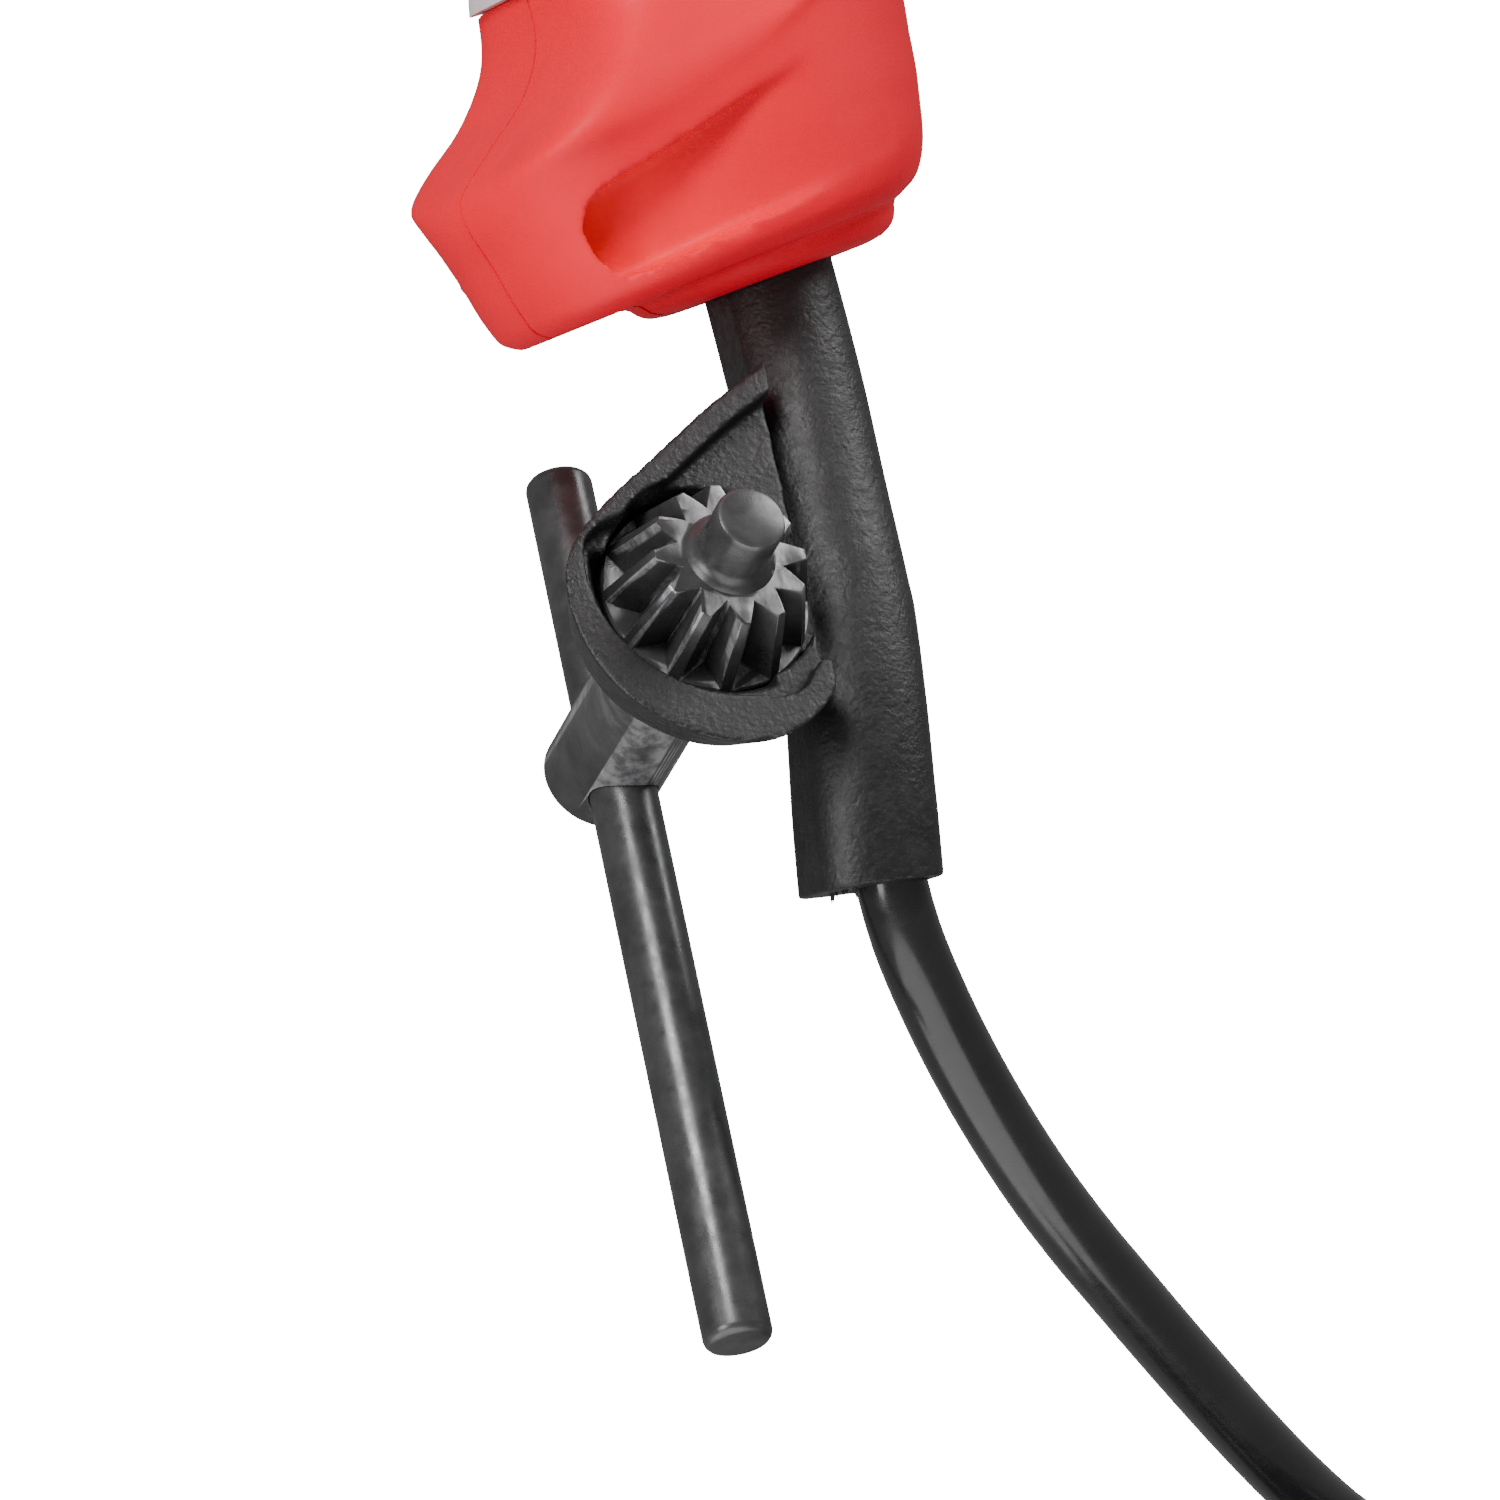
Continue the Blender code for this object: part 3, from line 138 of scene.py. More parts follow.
# the coil's windings: clockwise angle, radius and height of the cord's middle where they change
COIL_START = 72.8
OUTER, MIDDLE, INNER = COIL_R + COIL_PITCH, COIL_R, COIL_R - COIL_PITCH
LAYERS = [COIL_FLOOR + COIL_PITCH * i for i in range(3)]
WINDINGS = (
    (COIL_START, OUTER, LAYERS[0]), (-210, OUTER, LAYERS[0]), (-250, MIDDLE, LAYERS[0]),
    (-570, MIDDLE, LAYERS[0]), (-610, INNER, LAYERS[0]), (-890, INNER, LAYERS[0]),
    (-930, INNER, LAYERS[1]), (-1210, INNER, LAYERS[1]), (-1250, MIDDLE, LAYERS[1]),
    (-1570, MIDDLE, LAYERS[1]), (-1610, OUTER, LAYERS[1]), (-1890, OUTER, LAYERS[1]),
    (-1930, OUTER, LAYERS[2]), (-2210, OUTER, LAYERS[2]), (-2250, MIDDLE, LAYERS[2]),
    (-2570, MIDDLE, LAYERS[2]), (-2610, INNER - 0.05, LAYERS[2]), (-2760, INNER - 0.05, LAYERS[2]),
    (-2925, INNER - 0.05, 31.6), (-2970, INNER - 0.05, PLUG_Z),
)

# ---- frames --------------------------------------------------------------------------------------


def foot(g, h, l=0.0):
    """A point of the handle frame: g rearward, h up the handle, l towards the left side."""
    x = FOOT_X + g * math.cos(RAKE) - h * math.sin(RAKE)
    y = FOOT_Y + g * math.sin(RAKE) + h * math.cos(RAKE)
    return Vector((x, y, AXIS_Z + l))


REARWARD = Vector((math.cos(RAKE), math.sin(RAKE), 0))
UPWARD = Vector((-math.sin(RAKE), math.cos(RAKE), 0))
LEFT = Vector((0, 0, 1))
FOOT_POINT = foot(0, 0)
KEY_AXIS = Vector((-0.126, 0.376, 0.918)).normalized()
KEY_UP = Vector((0.053, 0.927, -0.372))
KEY_UP = (KEY_UP - KEY_UP.dot(KEY_AXIS) * KEY_AXIS).normalized()
KEY_SIDE = KEY_UP.cross(KEY_AXIS).normalized()
KEY_FACE = FOOT_POINT + Vector((-20.2, -35.1, 23.05))
GUARD_ROUTE = (
    FOOT_POINT + 9.0 * UPWARD, FOOT_POINT, FOOT_POINT + Vector((1.3, -12.6, 2.4)),
    FOOT_POINT + Vector((1.4, -25.5, 6.0)), FOOT_POINT + Vector((1.0, -38.0, 10.4)),
    FOOT_POINT + Vector((0.7, -50.0, 13.6)), FOOT_POINT + Vector((1.0, -61.0, 15.0)),
    FOOT_POINT + Vector((2.0, -70.8, 15.1)),
)


def key_point(side, up, out):
    return KEY_FACE + side * KEY_SIDE + up * KEY_UP + out * KEY_AXIS


def matrix(x, y, z, origin):
    m = Matrix((x, y, z)).transposed().to_4x4()
    m.translation = Vector(origin) * MM
    return m


HANDLE_FRAME = matrix(REARWARD, -LEFT, UPWARD, FOOT_POINT)
KEY_FRAME = matrix(KEY_SIDE, KEY_UP, KEY_AXIS, KEY_FACE)


def facing(direction, origin):
    spin = Vector(direction).to_track_quat("Z", "Y").to_matrix().to_4x4()
    return Matrix.Translation(Vector(origin) * MM) @ spin


# ---- shapes --------------------------------------------------------------------------------------


def add(name, data):
    made = bpy.data.objects.new(name, data)
    bpy.context.scene.collection.objects.link(made)
    return made


def from_bmesh(name, bm):
    bmesh.ops.recalc_face_normals(bm, faces=bm.faces)
    mesh = bpy.data.meshes.new(name)
    bm.to_mesh(mesh)
    bm.free()
    return add(name, mesh)


def box(name, low, high, place=None, bevel=0.0):
    bm = bmesh.new()
    low, high = Vector(low) * MM, Vector(high) * MM
    bmesh.ops.create_cube(bm, size=1)
    bmesh.ops.scale(bm, verts=bm.verts, vec=high - low)
    bmesh.ops.translate(bm, verts=bm.verts, vec=(low + high) / 2)
    made = from_bmesh(name, bm)
    made.matrix_world = place or Matrix.Identity(4)
    return rounded(made, bevel) if bevel else made


def cylinder(name, start, end, radius, sides=32):
    start, end = Vector(start), Vector(end)
    bm = bmesh.new()
    bmesh.ops.create_cone(bm, cap_ends=True, segments=sides, depth=(end - start).length * MM,
                          radius1=radius * MM, radius2=radius * MM)
    made = from_bmesh(name, bm)
    made.matrix_world = facing(end - start, (start + end) / 2)
    return made


def rounded(made, width, segments=3, angle=35):
    b = made.modifiers.new("rounded", "BEVEL")
    b.width = width * MM
    b.segments = segments
    b.limit_method = "ANGLE"
    b.angle_limit = math.radians(angle)
    b.harden_normals = False
    return made


def skin(name, rings, closed=False):
    """A closed skin through rings of world points in millimetres; closed joins the last to the first."""
    bm = bmesh.new()
    rows = [[bm.verts.new(p * MM) for p in r] for r in rings]
    for a, b in zip(rows, rows[1:] + rows[:1] if closed else rows[1:]):
        for i in range(len(a)):
            j = (i + 1) % len(a)
            bm.faces.new((a[i], a[j], b[j], b[i]))
    if not closed:
        bm.faces.new(rows[0])
        bm.faces.new(rows[-1])
    return from_bmesh(name, bm)


def turned(name, profile, origin, direction, sides=FINE, wave=None):
    """A closed skin of (radius, height) pairs turned about direction; wave changes a radius by angle."""
    place = facing(direction, origin)
    rings = []
    for r, z in profile:
        ring = []
        for i in range(sides):
            angle = math.tau * i / sides
            here = r + (wave(angle, z) if wave else 0)
            ring.append(place @ (Vector((here * math.cos(angle), here * math.sin(angle), z)) * MM) / MM)
        rings.append(ring)
    return skin(name, rings)


def shrunk(outline, share):
    """The outline scaled about HOLDER_FIXED."""
    a, b = HOLDER_FIXED
    return [(a + (x - a) * share, b + (y - b) * share) for x, y in outline]


def prism(name, outline, low, high, place, taper=1.0):
    """An outline between two heights of a frame; the low end is narrower by taper."""
    rings = []
    for z, share in ((low, taper), (high, 1.0)):
        rings.append([place @ (Vector((x, y, z)) * MM) / MM for x, y in shrunk(outline, share)])
    return skin(name, rings)


def combine(made, others, operation="DIFFERENCE", solver="MANIFOLD"):
    for other in others:
        b = made.modifiers.new(other.name[:40], "BOOLEAN")
        b.object, b.operation, b.solver = other, operation, solver
    return made


def applied(made, *cutters):
    """The object as one plain mesh in world space, with its cutters removed."""
    bpy.context.view_layer.update()
    mesh = bpy.data.meshes.new_from_object(made.evaluated_get(bpy.context.evaluated_depsgraph_get()))
    mesh.transform(made.matrix_world)
    name = made.name
    for old in (made, *cutters):
        bpy.data.objects.remove(old)
    whole = add(name, mesh)
    whole.name = name
    return whole


def moulded(made, voxel, passes, keep=1.0):
    """Remeshes a cut solid and softens it, which rounds its edges as a mould does."""
    r = made.modifiers.new("grid", "REMESH")
    r.mode, r.voxel_size = "VOXEL", voxel * MM
    s = made.modifiers.new("soft", "SMOOTH")
    s.factor, s.iterations = 0.5, passes
    if keep < 1:
        made.modifiers.new("lighter", "DECIMATE").ratio = keep
    return made


def spaced(points, step, closed=False):
    """Points about step apart on a Catmull-Rom curve through points."""
    knots = [Vector(p) for p in points]
    if closed:
        ends = [knots[-1], *knots, knots[0], knots[1]]
    else:
        ends = [2 * knots[0] - knots[1], *knots, 2 * knots[-1] - knots[-2]]
    fine = []
    for a, b, c, d in zip(ends, ends[1:], ends[2:], ends[3:]):
        n = max(1, round((c - b).length / step))
        for i in range(n):
            t = i / n
            fine.append(0.5 * (2 * b + (c - a) * t + (2 * a - 5 * b + 4 * c - d) * t * t
                               + (3 * b - a - 3 * c + d) * t**3))
    return fine if closed else [*fine, knots[-1]]


def eased(table, x):
    """Values between a table's rows, each row starting with its place, easing in and out."""
    for low, high in zip(table, table[1:]):
        if min(low[0], high[0]) <= x <= max(low[0], high[0]):
            t = (x - low[0]) / (high[0] - low[0])
            t = t * t * (3 - 2 * t)
            return [a + t * (b - a) for a, b in zip(low[1:], high[1:])]
    return list(table[-1][1:])


def power(value, exponent):
    return math.copysign(abs(value) ** exponent, value)


# ---- materials -----------------------------------------------------------------------------------


class Look:
    """A Principled material with grain, colour drift, and worn edges with a painted glint, in the object's
    own millimetres.
    """

    def __init__(self, name, colour, rough, metallic=0.0, **fixed):
        self.material = bpy.data.materials.new(name)
        self.material.use_nodes = True
        self.tree = self.material.node_tree
        self.shader = self.tree.nodes["Principled BSDF"]
        self.shader.inputs["Base Color"].default_value = (*colour, 1)
        self.shader.inputs["Roughness"].default_value = rough
        self.shader.inputs["Metallic"].default_value = metallic
        for socket, value in fixed.items():
            self.shader.inputs[socket.replace("_", " ")].default_value = value
        self.colour, self.rough = colour, rough
        self.place = self.node("ShaderNodeTexCoord").outputs["Object"]
        self.normal = None

    def node(self, kind, **values):
        made = self.tree.nodes.new(kind)
        for key, value in values.items():
            setattr(made, key, value)
        return made

    def link(self, a, b):
        self.tree.links.new(a, b)

    def noise(self, per_mm, detail=3.0, stretch=(1, 1, 1), turn=(0, 0, 0), kind="ShaderNodeTexNoise"):
        mapping = self.node("ShaderNodeMapping")
        mapping.inputs["Scale"].default_value = [s / MM for s in stretch]
        mapping.inputs["Rotation"].default_value = turn
        self.link(self.place, mapping.inputs["Vector"])
        made = self.node(kind)
        made.inputs["Scale"].default_value = per_mm
        if kind == "ShaderNodeTexNoise":
            made.inputs["Detail"].default_value = detail
            made.inputs["Roughness"].default_value = 0.6
        self.link(mapping.outputs["Vector"], made.inputs["Vector"])
        return made.outputs[0]

    def ramp(self, source, low, high, from_value, to_value):
        made = self.node("ShaderNodeMapRange")
        made.interpolation_type = "SMOOTHSTEP"
        made.inputs["From Min"].default_value, made.inputs["From Max"].default_value = low, high
        made.inputs["To Min"].default_value, made.inputs["To Max"].default_value = from_value, to_value
        self.link(source, made.inputs["Value"])
        return made.outputs["Result"]

    def grain(self, source, height, strength=1.0):
        """Bumps of about height millimetres."""
        made = self.node("ShaderNodeBump")
        made.inputs["Distance"].default_value = height * MM
        made.inputs["Strength"].default_value = strength
        self.link(source, made.inputs["Height"])
        if self.normal:
            self.link(self.normal, made.inputs["Normal"])
        self.normal = made.outputs["Normal"]
        self.link(self.normal, self.shader.inputs["Normal"])
        return self

    def drift(self, source, dark, light, low=0.3, high=0.7):
        """Moves the colour between two shades of itself."""
        mix = self.node("ShaderNodeMix", data_type="RGBA")
        mix.inputs["A"].default_value = (*[c * dark for c in self.colour], 1)
        mix.inputs["B"].default_value = (*[min(1.0, c * light) for c in self.colour], 1)
        self.link(self.ramp(source, low, high, 0, 1), mix.inputs["Factor"])
        self.base = mix.outputs["Result"]
        self.link(self.base, self.shader.inputs["Base Color"])
        return self

    def gloss(self, source, spread, low=0.3, high=0.7):
        self.link(self.ramp(source, low, high, self.rough - spread, self.rough + spread),
                  self.shader.inputs["Roughness"])
        return self

    def wear_and_glint(self, colour, source=None, low=0.53, high=0.62):
        """Paler edges, broken up by a noise: partly worn metal, partly a painted glint on the edges."""
        edge = self.ramp(self.node("ShaderNodeNewGeometry").outputs["Pointiness"], low, high, 0, 1)
        if source:
            both = self.node("ShaderNodeMath", operation="MULTIPLY")
            self.link(edge, both.inputs[0])
            self.link(self.ramp(source, 0.35, 0.65, 0.2, 1), both.inputs[1])
            edge = both.outputs[0]
        mix = self.node("ShaderNodeMix", data_type="RGBA")
        self.link(edge, mix.inputs["Factor"])
        self.link(self.base, mix.inputs["A"])
        mix.inputs["B"].default_value = (*colour, 1)
        self.base = mix.outputs["Result"]
        self.link(self.base, self.shader.inputs["Base Color"])
        return self


def looks():
    made = {}
    red = Look("red", (0.95, 0.001, 0.022), 0.52, Specular_IOR_Level=0.25)
    red.drift(red.noise(0.05), 0.96, 1.04).gloss(red.noise(0.9), 0.05)
    made["red"] = red.grain(red.noise(2.6, 2.0), 0.035, 0.55).grain(red.noise(0.35, 1.0), 0.02, 0.4)
    pale = Look("pale_grip", (0.70, 0.62, 0.62), 0.62)
    pale.drift(pale.noise(0.08), 0.93, 1.03).gloss(pale.noise(1.5), 0.06)
    made["pale_grip"] = pale.grain(pale.noise(2.2), 0.06, 0.6)
    rubber = Look("rubber", (0.011, 0.011, 0.0115), 0.42)
    rubber.drift(rubber.noise(0.25), 0.8, 1.3).gloss(rubber.noise(0.6), 0.08)
    rubber.grain(rubber.noise(1.5, 5.0), 0.22, 0.8).grain(rubber.noise(0.5, 3.0), 0.25, 0.5)
    made["rubber"] = rubber.grain(rubber.noise(0.22, 0, (1, 0.35, 1)), 0.12, 0.3)
    cord = Look("cord", (0.014, 0.014, 0.0145), 0.26, Coat_Weight=0.35, Coat_Roughness=0.12)
    cord.drift(cord.noise(0.06), 0.85, 1.2).gloss(cord.noise(0.5), 0.05)
    made["cord"] = cord.grain(cord.noise(0.5, 2.0), 0.03, 0.3)
    black = Look("black_steel", (0.075, 0.075, 0.077), 0.33, 0.6)
    scratch = black.noise(0.5, 5.0, (1, 0.12, 1), (0.3, 0.1, 0.15))
    black.drift(black.noise(0.22, 4.0), 0.8, 1.25).gloss(black.noise(0.4, 4.0), 0.07)
    # pale edges: partly worn steel, partly a painted glint on the edges
    black.wear_and_glint((0.45, 0.45, 0.46), scratch, 0.53, 0.60)
    made["black_steel"] = black.grain(scratch, 0.03, 0.35).grain(black.noise(3.0, 3.0), 0.02, 0.35)
    steel = Look("steel", (0.56, 0.56, 0.57), 0.28, 1.0, Anisotropic=0.4)
    steel.drift(steel.noise(0.3), 0.85, 1.05).gloss(steel.noise(1.2), 0.07)
    made["steel"] = steel.grain(steel.noise(1.5, 2.0, (6, 1, 1)), 0.01, 0.4)
    alloy = Look("alloy", (0.30, 0.31, 0.32), 0.44, 0.85)
    alloy.drift(alloy.noise(0.1, 4.0), 0.85, 1.1).gloss(alloy.noise(0.8), 0.08)
    made["alloy"] = alloy.grain(alloy.noise(2.2, 3.0), 0.06, 0.6).grain(alloy.noise(0.3), 0.05, 0.3)
    copper = Look("copper", (0.55, 0.22, 0.09), 0.34, 0.9)
    copper.drift(copper.noise(0.4), 0.7, 1.15)
    made["copper"] = copper.grain(copper.noise(1.6, 1.0, (8, 1, 1)), 0.12, 0.8)
    brass = Look("brass", (0.62, 0.50, 0.28), 0.28, 1.0)
    brass.drift(brass.noise(0.3), 0.85, 1.08).gloss(brass.noise(1.0), 0.07)
    made["brass"] = brass.grain(brass.noise(1.2, 2.0, (1, 6, 1)), 0.01, 0.4)
    carbon = Look("carbon", (0.05, 0.05, 0.052), 0.6)
    made["carbon"] = carbon.drift(carbon.noise(2.0), 0.7, 1.4).grain(carbon.noise(3.0), 0.04, 0.5)
    plastic = Look("black_plastic", (0.022, 0.022, 0.024), 0.42)
    plastic.drift(plastic.noise(0.1), 0.85, 1.25).gloss(plastic.noise(0.8), 0.06)
    made["black_plastic"] = plastic.grain(plastic.noise(2.8, 2.0), 0.04, 0.6)
    sheets = Look("laminations", (0.20, 0.20, 0.21), 0.5, 0.8)
    sheets.drift(sheets.noise(0.4), 0.8, 1.15)
    made["laminations"] = sheets.grain(sheets.noise(2.0, 0, (1, 0.02, 0.02)), 0.15, 0.9)
    return {slot: look.material for slot, look in made.items()}


MATERIALS = looks()


def finish_piece(piece, node, smooth=32, slot=None):
    """Gives a piece its node's body and material, and smooth shading between its edges."""
    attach(piece, BODY_OF[node])
    slot = slot or SLOT_OF[node]
    piece.data.materials.clear()
    piece.data.materials.append(MATERIALS[slot])
    if piece.type == "MESH":
        piece.data.shade_smooth()
        piece.data.set_sharp_from_angle(angle=math.radians(smooth))
    return piece


def stands_for(piece, *nodes, smooth=32):
    finish_piece(piece, nodes[0], smooth)
    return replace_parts(piece, *nodes)


# ---- camera, light and floor ---------------------------------------------------------------------


def camera():
    data = bpy.data.cameras.new("camera")
    data.lens, data.sensor_width, data.clip_start = 175.1, 36.0, 0.01
    made = add("camera", data)
    right, up = Vector((0.8744, -0.0633, 0.4810)), Vector((-0.0033, 0.9906, 0.1365))
    back = right.cross(up).normalized()
    up = back.cross(right).normalized()
    made.matrix_world = matrix(right.normalized(), up, back, (-361.4, -313.3, 751.0))
    bpy.context.scene.camera = made


def light(name, place, target, size, power_w, colour=(1, 1, 1)):
    data = bpy.data.lights.new(name, "AREA")
    data.shape, data.size, data.energy, data.color = "DISK", size, power_w, colour
    made = add(name, data)
    made.matrix_world = facing(Vector(place) - Vector(target), place)


def studio():
    target = FOOT_POINT
    light("key_light", (-560, 330, 600), target, 0.36, 8.2)
    light("side_light", (560, 420, 330), target, 0.45, 4.5)
    light("front_light", (-700, -260, 330), target, 0.4, 2.8)
    light("low_light", (-100, -700, 180), target, 0.8, 3.0)
    world = bpy.data.worlds.new("studio")
    world.use_nodes = True
    world.node_tree.nodes["Background"].inputs["Color"].default_value = (1, 1, 1, 1)
    world.node_tree.nodes["Background"].inputs["Strength"].default_value = 0.24
    bpy.context.scene.world = world
    bm = bmesh.new()
    bmesh.ops.create_grid(bm, x_segments=1, y_segments=1, size=6.0)
    floor = from_bmesh("floor", bm)
    floor.location.z = -0.0002
    paint = Look("floor", (0.93, 0.93, 0.93), 0.8)
    paint.drift(paint.noise(0.002), 0.995, 1.0)
    paint.shader.inputs["Emission Color"].default_value = (1, 1, 1, 1)
    paint.shader.inputs["Emission Strength"].default_value = 17.0
    floor.data.materials.append(paint.material)
    floor.visible_diffuse = floor.visible_glossy = floor.visible_shadow = False


camera()
studio()

# ---- cord ----------------------------------------------------------------------------------------


def cord_path():
    """The lead from the guard to the coil, and the coil's turns."""
    inside = GUARD_ROUTE[-1] + CORD_HIDDEN * (GUARD_ROUTE[-2] - GUARD_ROUTE[-1]).normalized()
    lead = spaced([inside, *CORD_ROUTE, coil_point(COIL_START)], 2.5)
    turns, angle = [], COIL_START - 3.0
    while angle > WINDINGS[-1][0]:
        turns.append(coil_point(angle))
        angle -= 5.0
    return [*lead, *turns, coil_point(WINDINGS[-1][0]) + Vector((0.3, 0, 0))]


def coil_point(angle):
    radius, height = eased(WINDINGS, angle)
    t = math.radians(angle)
    return Vector((COIL_CENTRE.x + radius * math.cos(t), COIL_CENTRE.y + radius * math.sin(t), height))


def cord():
    route = cord_path()
    curve = bpy.data.curves.new("mains_cord", "CURVE")
    curve.dimensions, curve.bevel_depth, curve.bevel_resolution = "3D", CORD_R * MM, 6
    curve.use_fill_caps = True
    spline = curve.splines.new("POLY")
    spline.points.add(len(route) - 1)
    for p, q in zip(spline.points, route):
        p.co = (*(q * MM), 1)
    spline.use_smooth = True
    made = applied(add("mains_cord", curve))
    stands_for(made, "cord_lead", "cord_coil", "cord_tail")
    pins = [frame["nodes"]["plug_pin_1"], frame["nodes"]["plug_pin_2"]]
    on_it = [coil_tie(), plug_body(), strain_relief(), *pins]


def coil_tie():
    """A flat strap around the coil's section, with its buckle on top."""
    low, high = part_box("coil_tie")
    low, high = low / MM, high / MM
    y, corner, rings = (low.y + high.y) / 2, 3.0, []
    for cx, cz, start in ((high.x - corner, high.z - corner, 0), (low.x + corner, high.z - corner, 90),
                          (low.x + corner, low.z + corner, 180), (high.x - corner, low.z + corner, 270)):
        for i in range(7):
            t = math.radians(start + 15 * i)
            ring = []
            for r, side in ((corner, -1), (corner, 1), (corner - 0.9, 1), (corner - 0.9, -1)):
                ring.append(Vector((cx + r * math.cos(t), y + side * 3.6, cz + r * math.sin(t))))
            rings.append(ring)
    strap = rounded(skin("cable_tie", rings, closed=True), 0.2, 2)
    middle = (low.x + high.x) / 2
    head = box("tie_head", (middle - 4, y - 4, high.z - 1.7), (middle + 4, y + 4, high.z), bevel=0.5)
    head = applied(head)
    head.parent = strap = stands_for(applied(strap), "coil_tie")
    finish_piece(head, "coil_tie")
    return strap


def plug_body():
    """A moulded body with a waist and finger ridges on both sides."""
    low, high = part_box("plug_body")
    low, high = low / MM, high / MM
    middle, half = (low + high) / 2, (high - low) / 2
    rings, steps = [], 64
    for i in range(steps + 1):
        t = i / steps
        waist = 0.10 * math.sin(math.pi * min(1, t / 0.72)) ** 2
        width = half.y * (1 - waist - 0.22 * max(0, t - 0.62) / 0.38)
        thick = half.z * (1 - 0.14 * max(0, t - 0.55) / 0.45)
        if 0.24 < t < 0.62:
            width -= 0.5 * (0.5 + 0.5 * math.cos(math.tau * (t - 0.24) * 16))
        edge = min(t, 1 - t) * 2 * half.x
        inset = 1.6 - math.sqrt(max(0.0, 1.6**2 - max(0.0, 1.6 - edge) ** 2)) if edge < 1.6 else 0
        ring = []
        for k in range(56):
            angle = math.tau * k / 56
            ring.append(Vector((low.x + 2 * half.x * t,
                                middle.y + (width - inset) * power(math.cos(angle), 0.5),
                                middle.z + (thick - inset) * power(math.sin(angle), 0.5))))
        rings.append(ring)
    return stands_for(skin("mains_plug", rings), "plug_body", smooth=50)


def strain_relief():
    """A tapered sleeve with slotted rings."""
    low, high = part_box("plug_strain_relief")
    low, high = low / MM, high / MM
    y, z, length = (low.y + high.y) / 2, (low.z + high.z) / 2, high.x - low.x
    profile = [(4.3, length), (4.3, length - 0.01)]
    for i in range(6):
        r = 5.0 + 2.0 * i / 6
        near = length - 0.6 - i * length / 6.6
        profile += [(r - 0.3, near + 0.5), (r, near), (r + 0.2, near - 2.2), (r - 0.9, near - 2.5),
                    (r - 0.9, near - 3.0)]
    profile += [(7.0, 0.7), (7.0, 0.0)]
    relief = turned("plug_sleeve", profile, (low.x, y, z), (1, 0, 0), 40)
    return stands_for(relief, "plug_strain_relief")


cord()

# ---- housing -------------------------------------------------------------------------------------


def rise(h, reach):
    """How far a section has risen at a distance behind its front. Low sections lean with the foot's
    underside, and the shoulder's sections sweep up towards the rear."""
    lean = BASE_SLOPE * min(1.0, max(0.0, (40.0 - h) / 30.0))
    share = eased(SWEEP, h)[0]
    return lean * reach * (1 - share) + share * SWEEP_CURVE * min(reach, 40.0) ** 2


def handle_ring(h, front, rear, width, squareness, shrink=0.0):
    """One section of the handle."""
    front, rear, width = front + shrink, rear - shrink, width - shrink
    middle = front + 0.47 * (rear - front)
    made = []
    for i in range(RING_POINTS):
        angle = math.tau * i / RING_POINTS
        corner = 2 / (squareness if math.cos(angle) < 0 else REAR_SQUARENESS)
        along = power(math.cos(angle), corner)
        g = middle + along * (rear - middle if along > 0 else middle - front)
        made.append(foot(g, h + rise(h, g - front), width * power(math.sin(angle), corner)))
    return made


def barrel_ring(x, middle, height, width, squareness, shrink=0.0):
    made = []
    for i in range(RING_POINTS):
        angle = math.tau * i / RING_POINTS
        y = middle + (height - shrink) * power(math.sin(angle), 2 / squareness)
        made.append(Vector((x, y, AXIS_Z + (width - shrink) * power(math.cos(angle), 2 / squareness))))
    return made


def smooth_rows(table, step):
    """Rows between a table's rows, on a smooth curve through each column."""
    columns = len(table[0])
    made = []
    rows = [table[0], *table, table[-1]]
    for a, b, c, d in zip(rows, rows[1:], rows[2:], rows[3:]):
        n = max(1, round(abs(c[0] - b[0]) / step))
        for i in range(n):
            t = i / n
            row = [b[0] + t * (c[0] - b[0])]
            for k in range(1, columns):
                before = (b[k] - a[k]) / (b[0] - a[0]) if b[0] != a[0] else (c[k] - b[k]) / (c[0] - b[0])
                after = (d[k] - c[k]) / (d[0] - c[0]) if d[0] != c[0] else (c[k] - b[k]) / (c[0] - b[0])
                here = (c[k] - b[k]) / (c[0] - b[0])
                span = c[0] - b[0]
                m0, m1 = span * (before + here) / 2, span * (here + after) / 2
                row.append(b[k] * (2 * t**3 - 3 * t**2 + 1) + m0 * (t**3 - 2 * t**2 + t)
                           + c[k] * (3 * t**2 - 2 * t**3) + m1 * (t**3 - t**2))
            made.append(row)
    return [*made, list(table[-1])]


def handle_at(h):
    for low, high in zip(HANDLE, HANDLE[1:]):
        if low[0] <= h <= high[0]:
            t = (h - low[0]) / (high[0] - low[0])
            return [a + t * (b - a) for a, b in zip(low[1:], high[1:])]
    return list(HANDLE[-1][1:])


def grip_strip(name, low, high, cover, outside, inside, ribs=0.0):
    """A strip around the front of the handle between two offsets from its skin."""
    rings, steps = [], 90
    for s in range(steps + 1):
        h = low + (high - low) * s / steps
        front, rear, width, squareness = handle_at(h)
        middle = front + 0.47 * (rear - front)
        outer, inner = [], []
        for i in range(49):
            angle = math.pi + math.radians(cover) * (i / 24 - 1)
            ribbed = abs(i - 24) < 18 and 3 < h - low < 40
            rib = ribs * max(0.0, math.sin(math.tau * (h - low) / 3.4)) * ribbed
            for offset, side in ((outside + rib, outer), (inside, inner)):
                g = middle + (middle - front + offset) * power(math.cos(angle), 2 / squareness)
                lift = 1.2 * abs(i / 24 - 1) ** 2 * (1 - s / steps)
                side.append(foot(g, h + lift, (width + offset) * power(math.sin(angle), 2 / squareness)))
        rings.append(outer + inner[::-1])
    return skin(name, rings)


def screw_lines():
    """A point on each screw's axis."""
    return [Vector((x, y, AXIS_Z)) for x, y in BARREL_SCREWS] + [foot(g, h) for g, h in HANDLE_SCREWS]


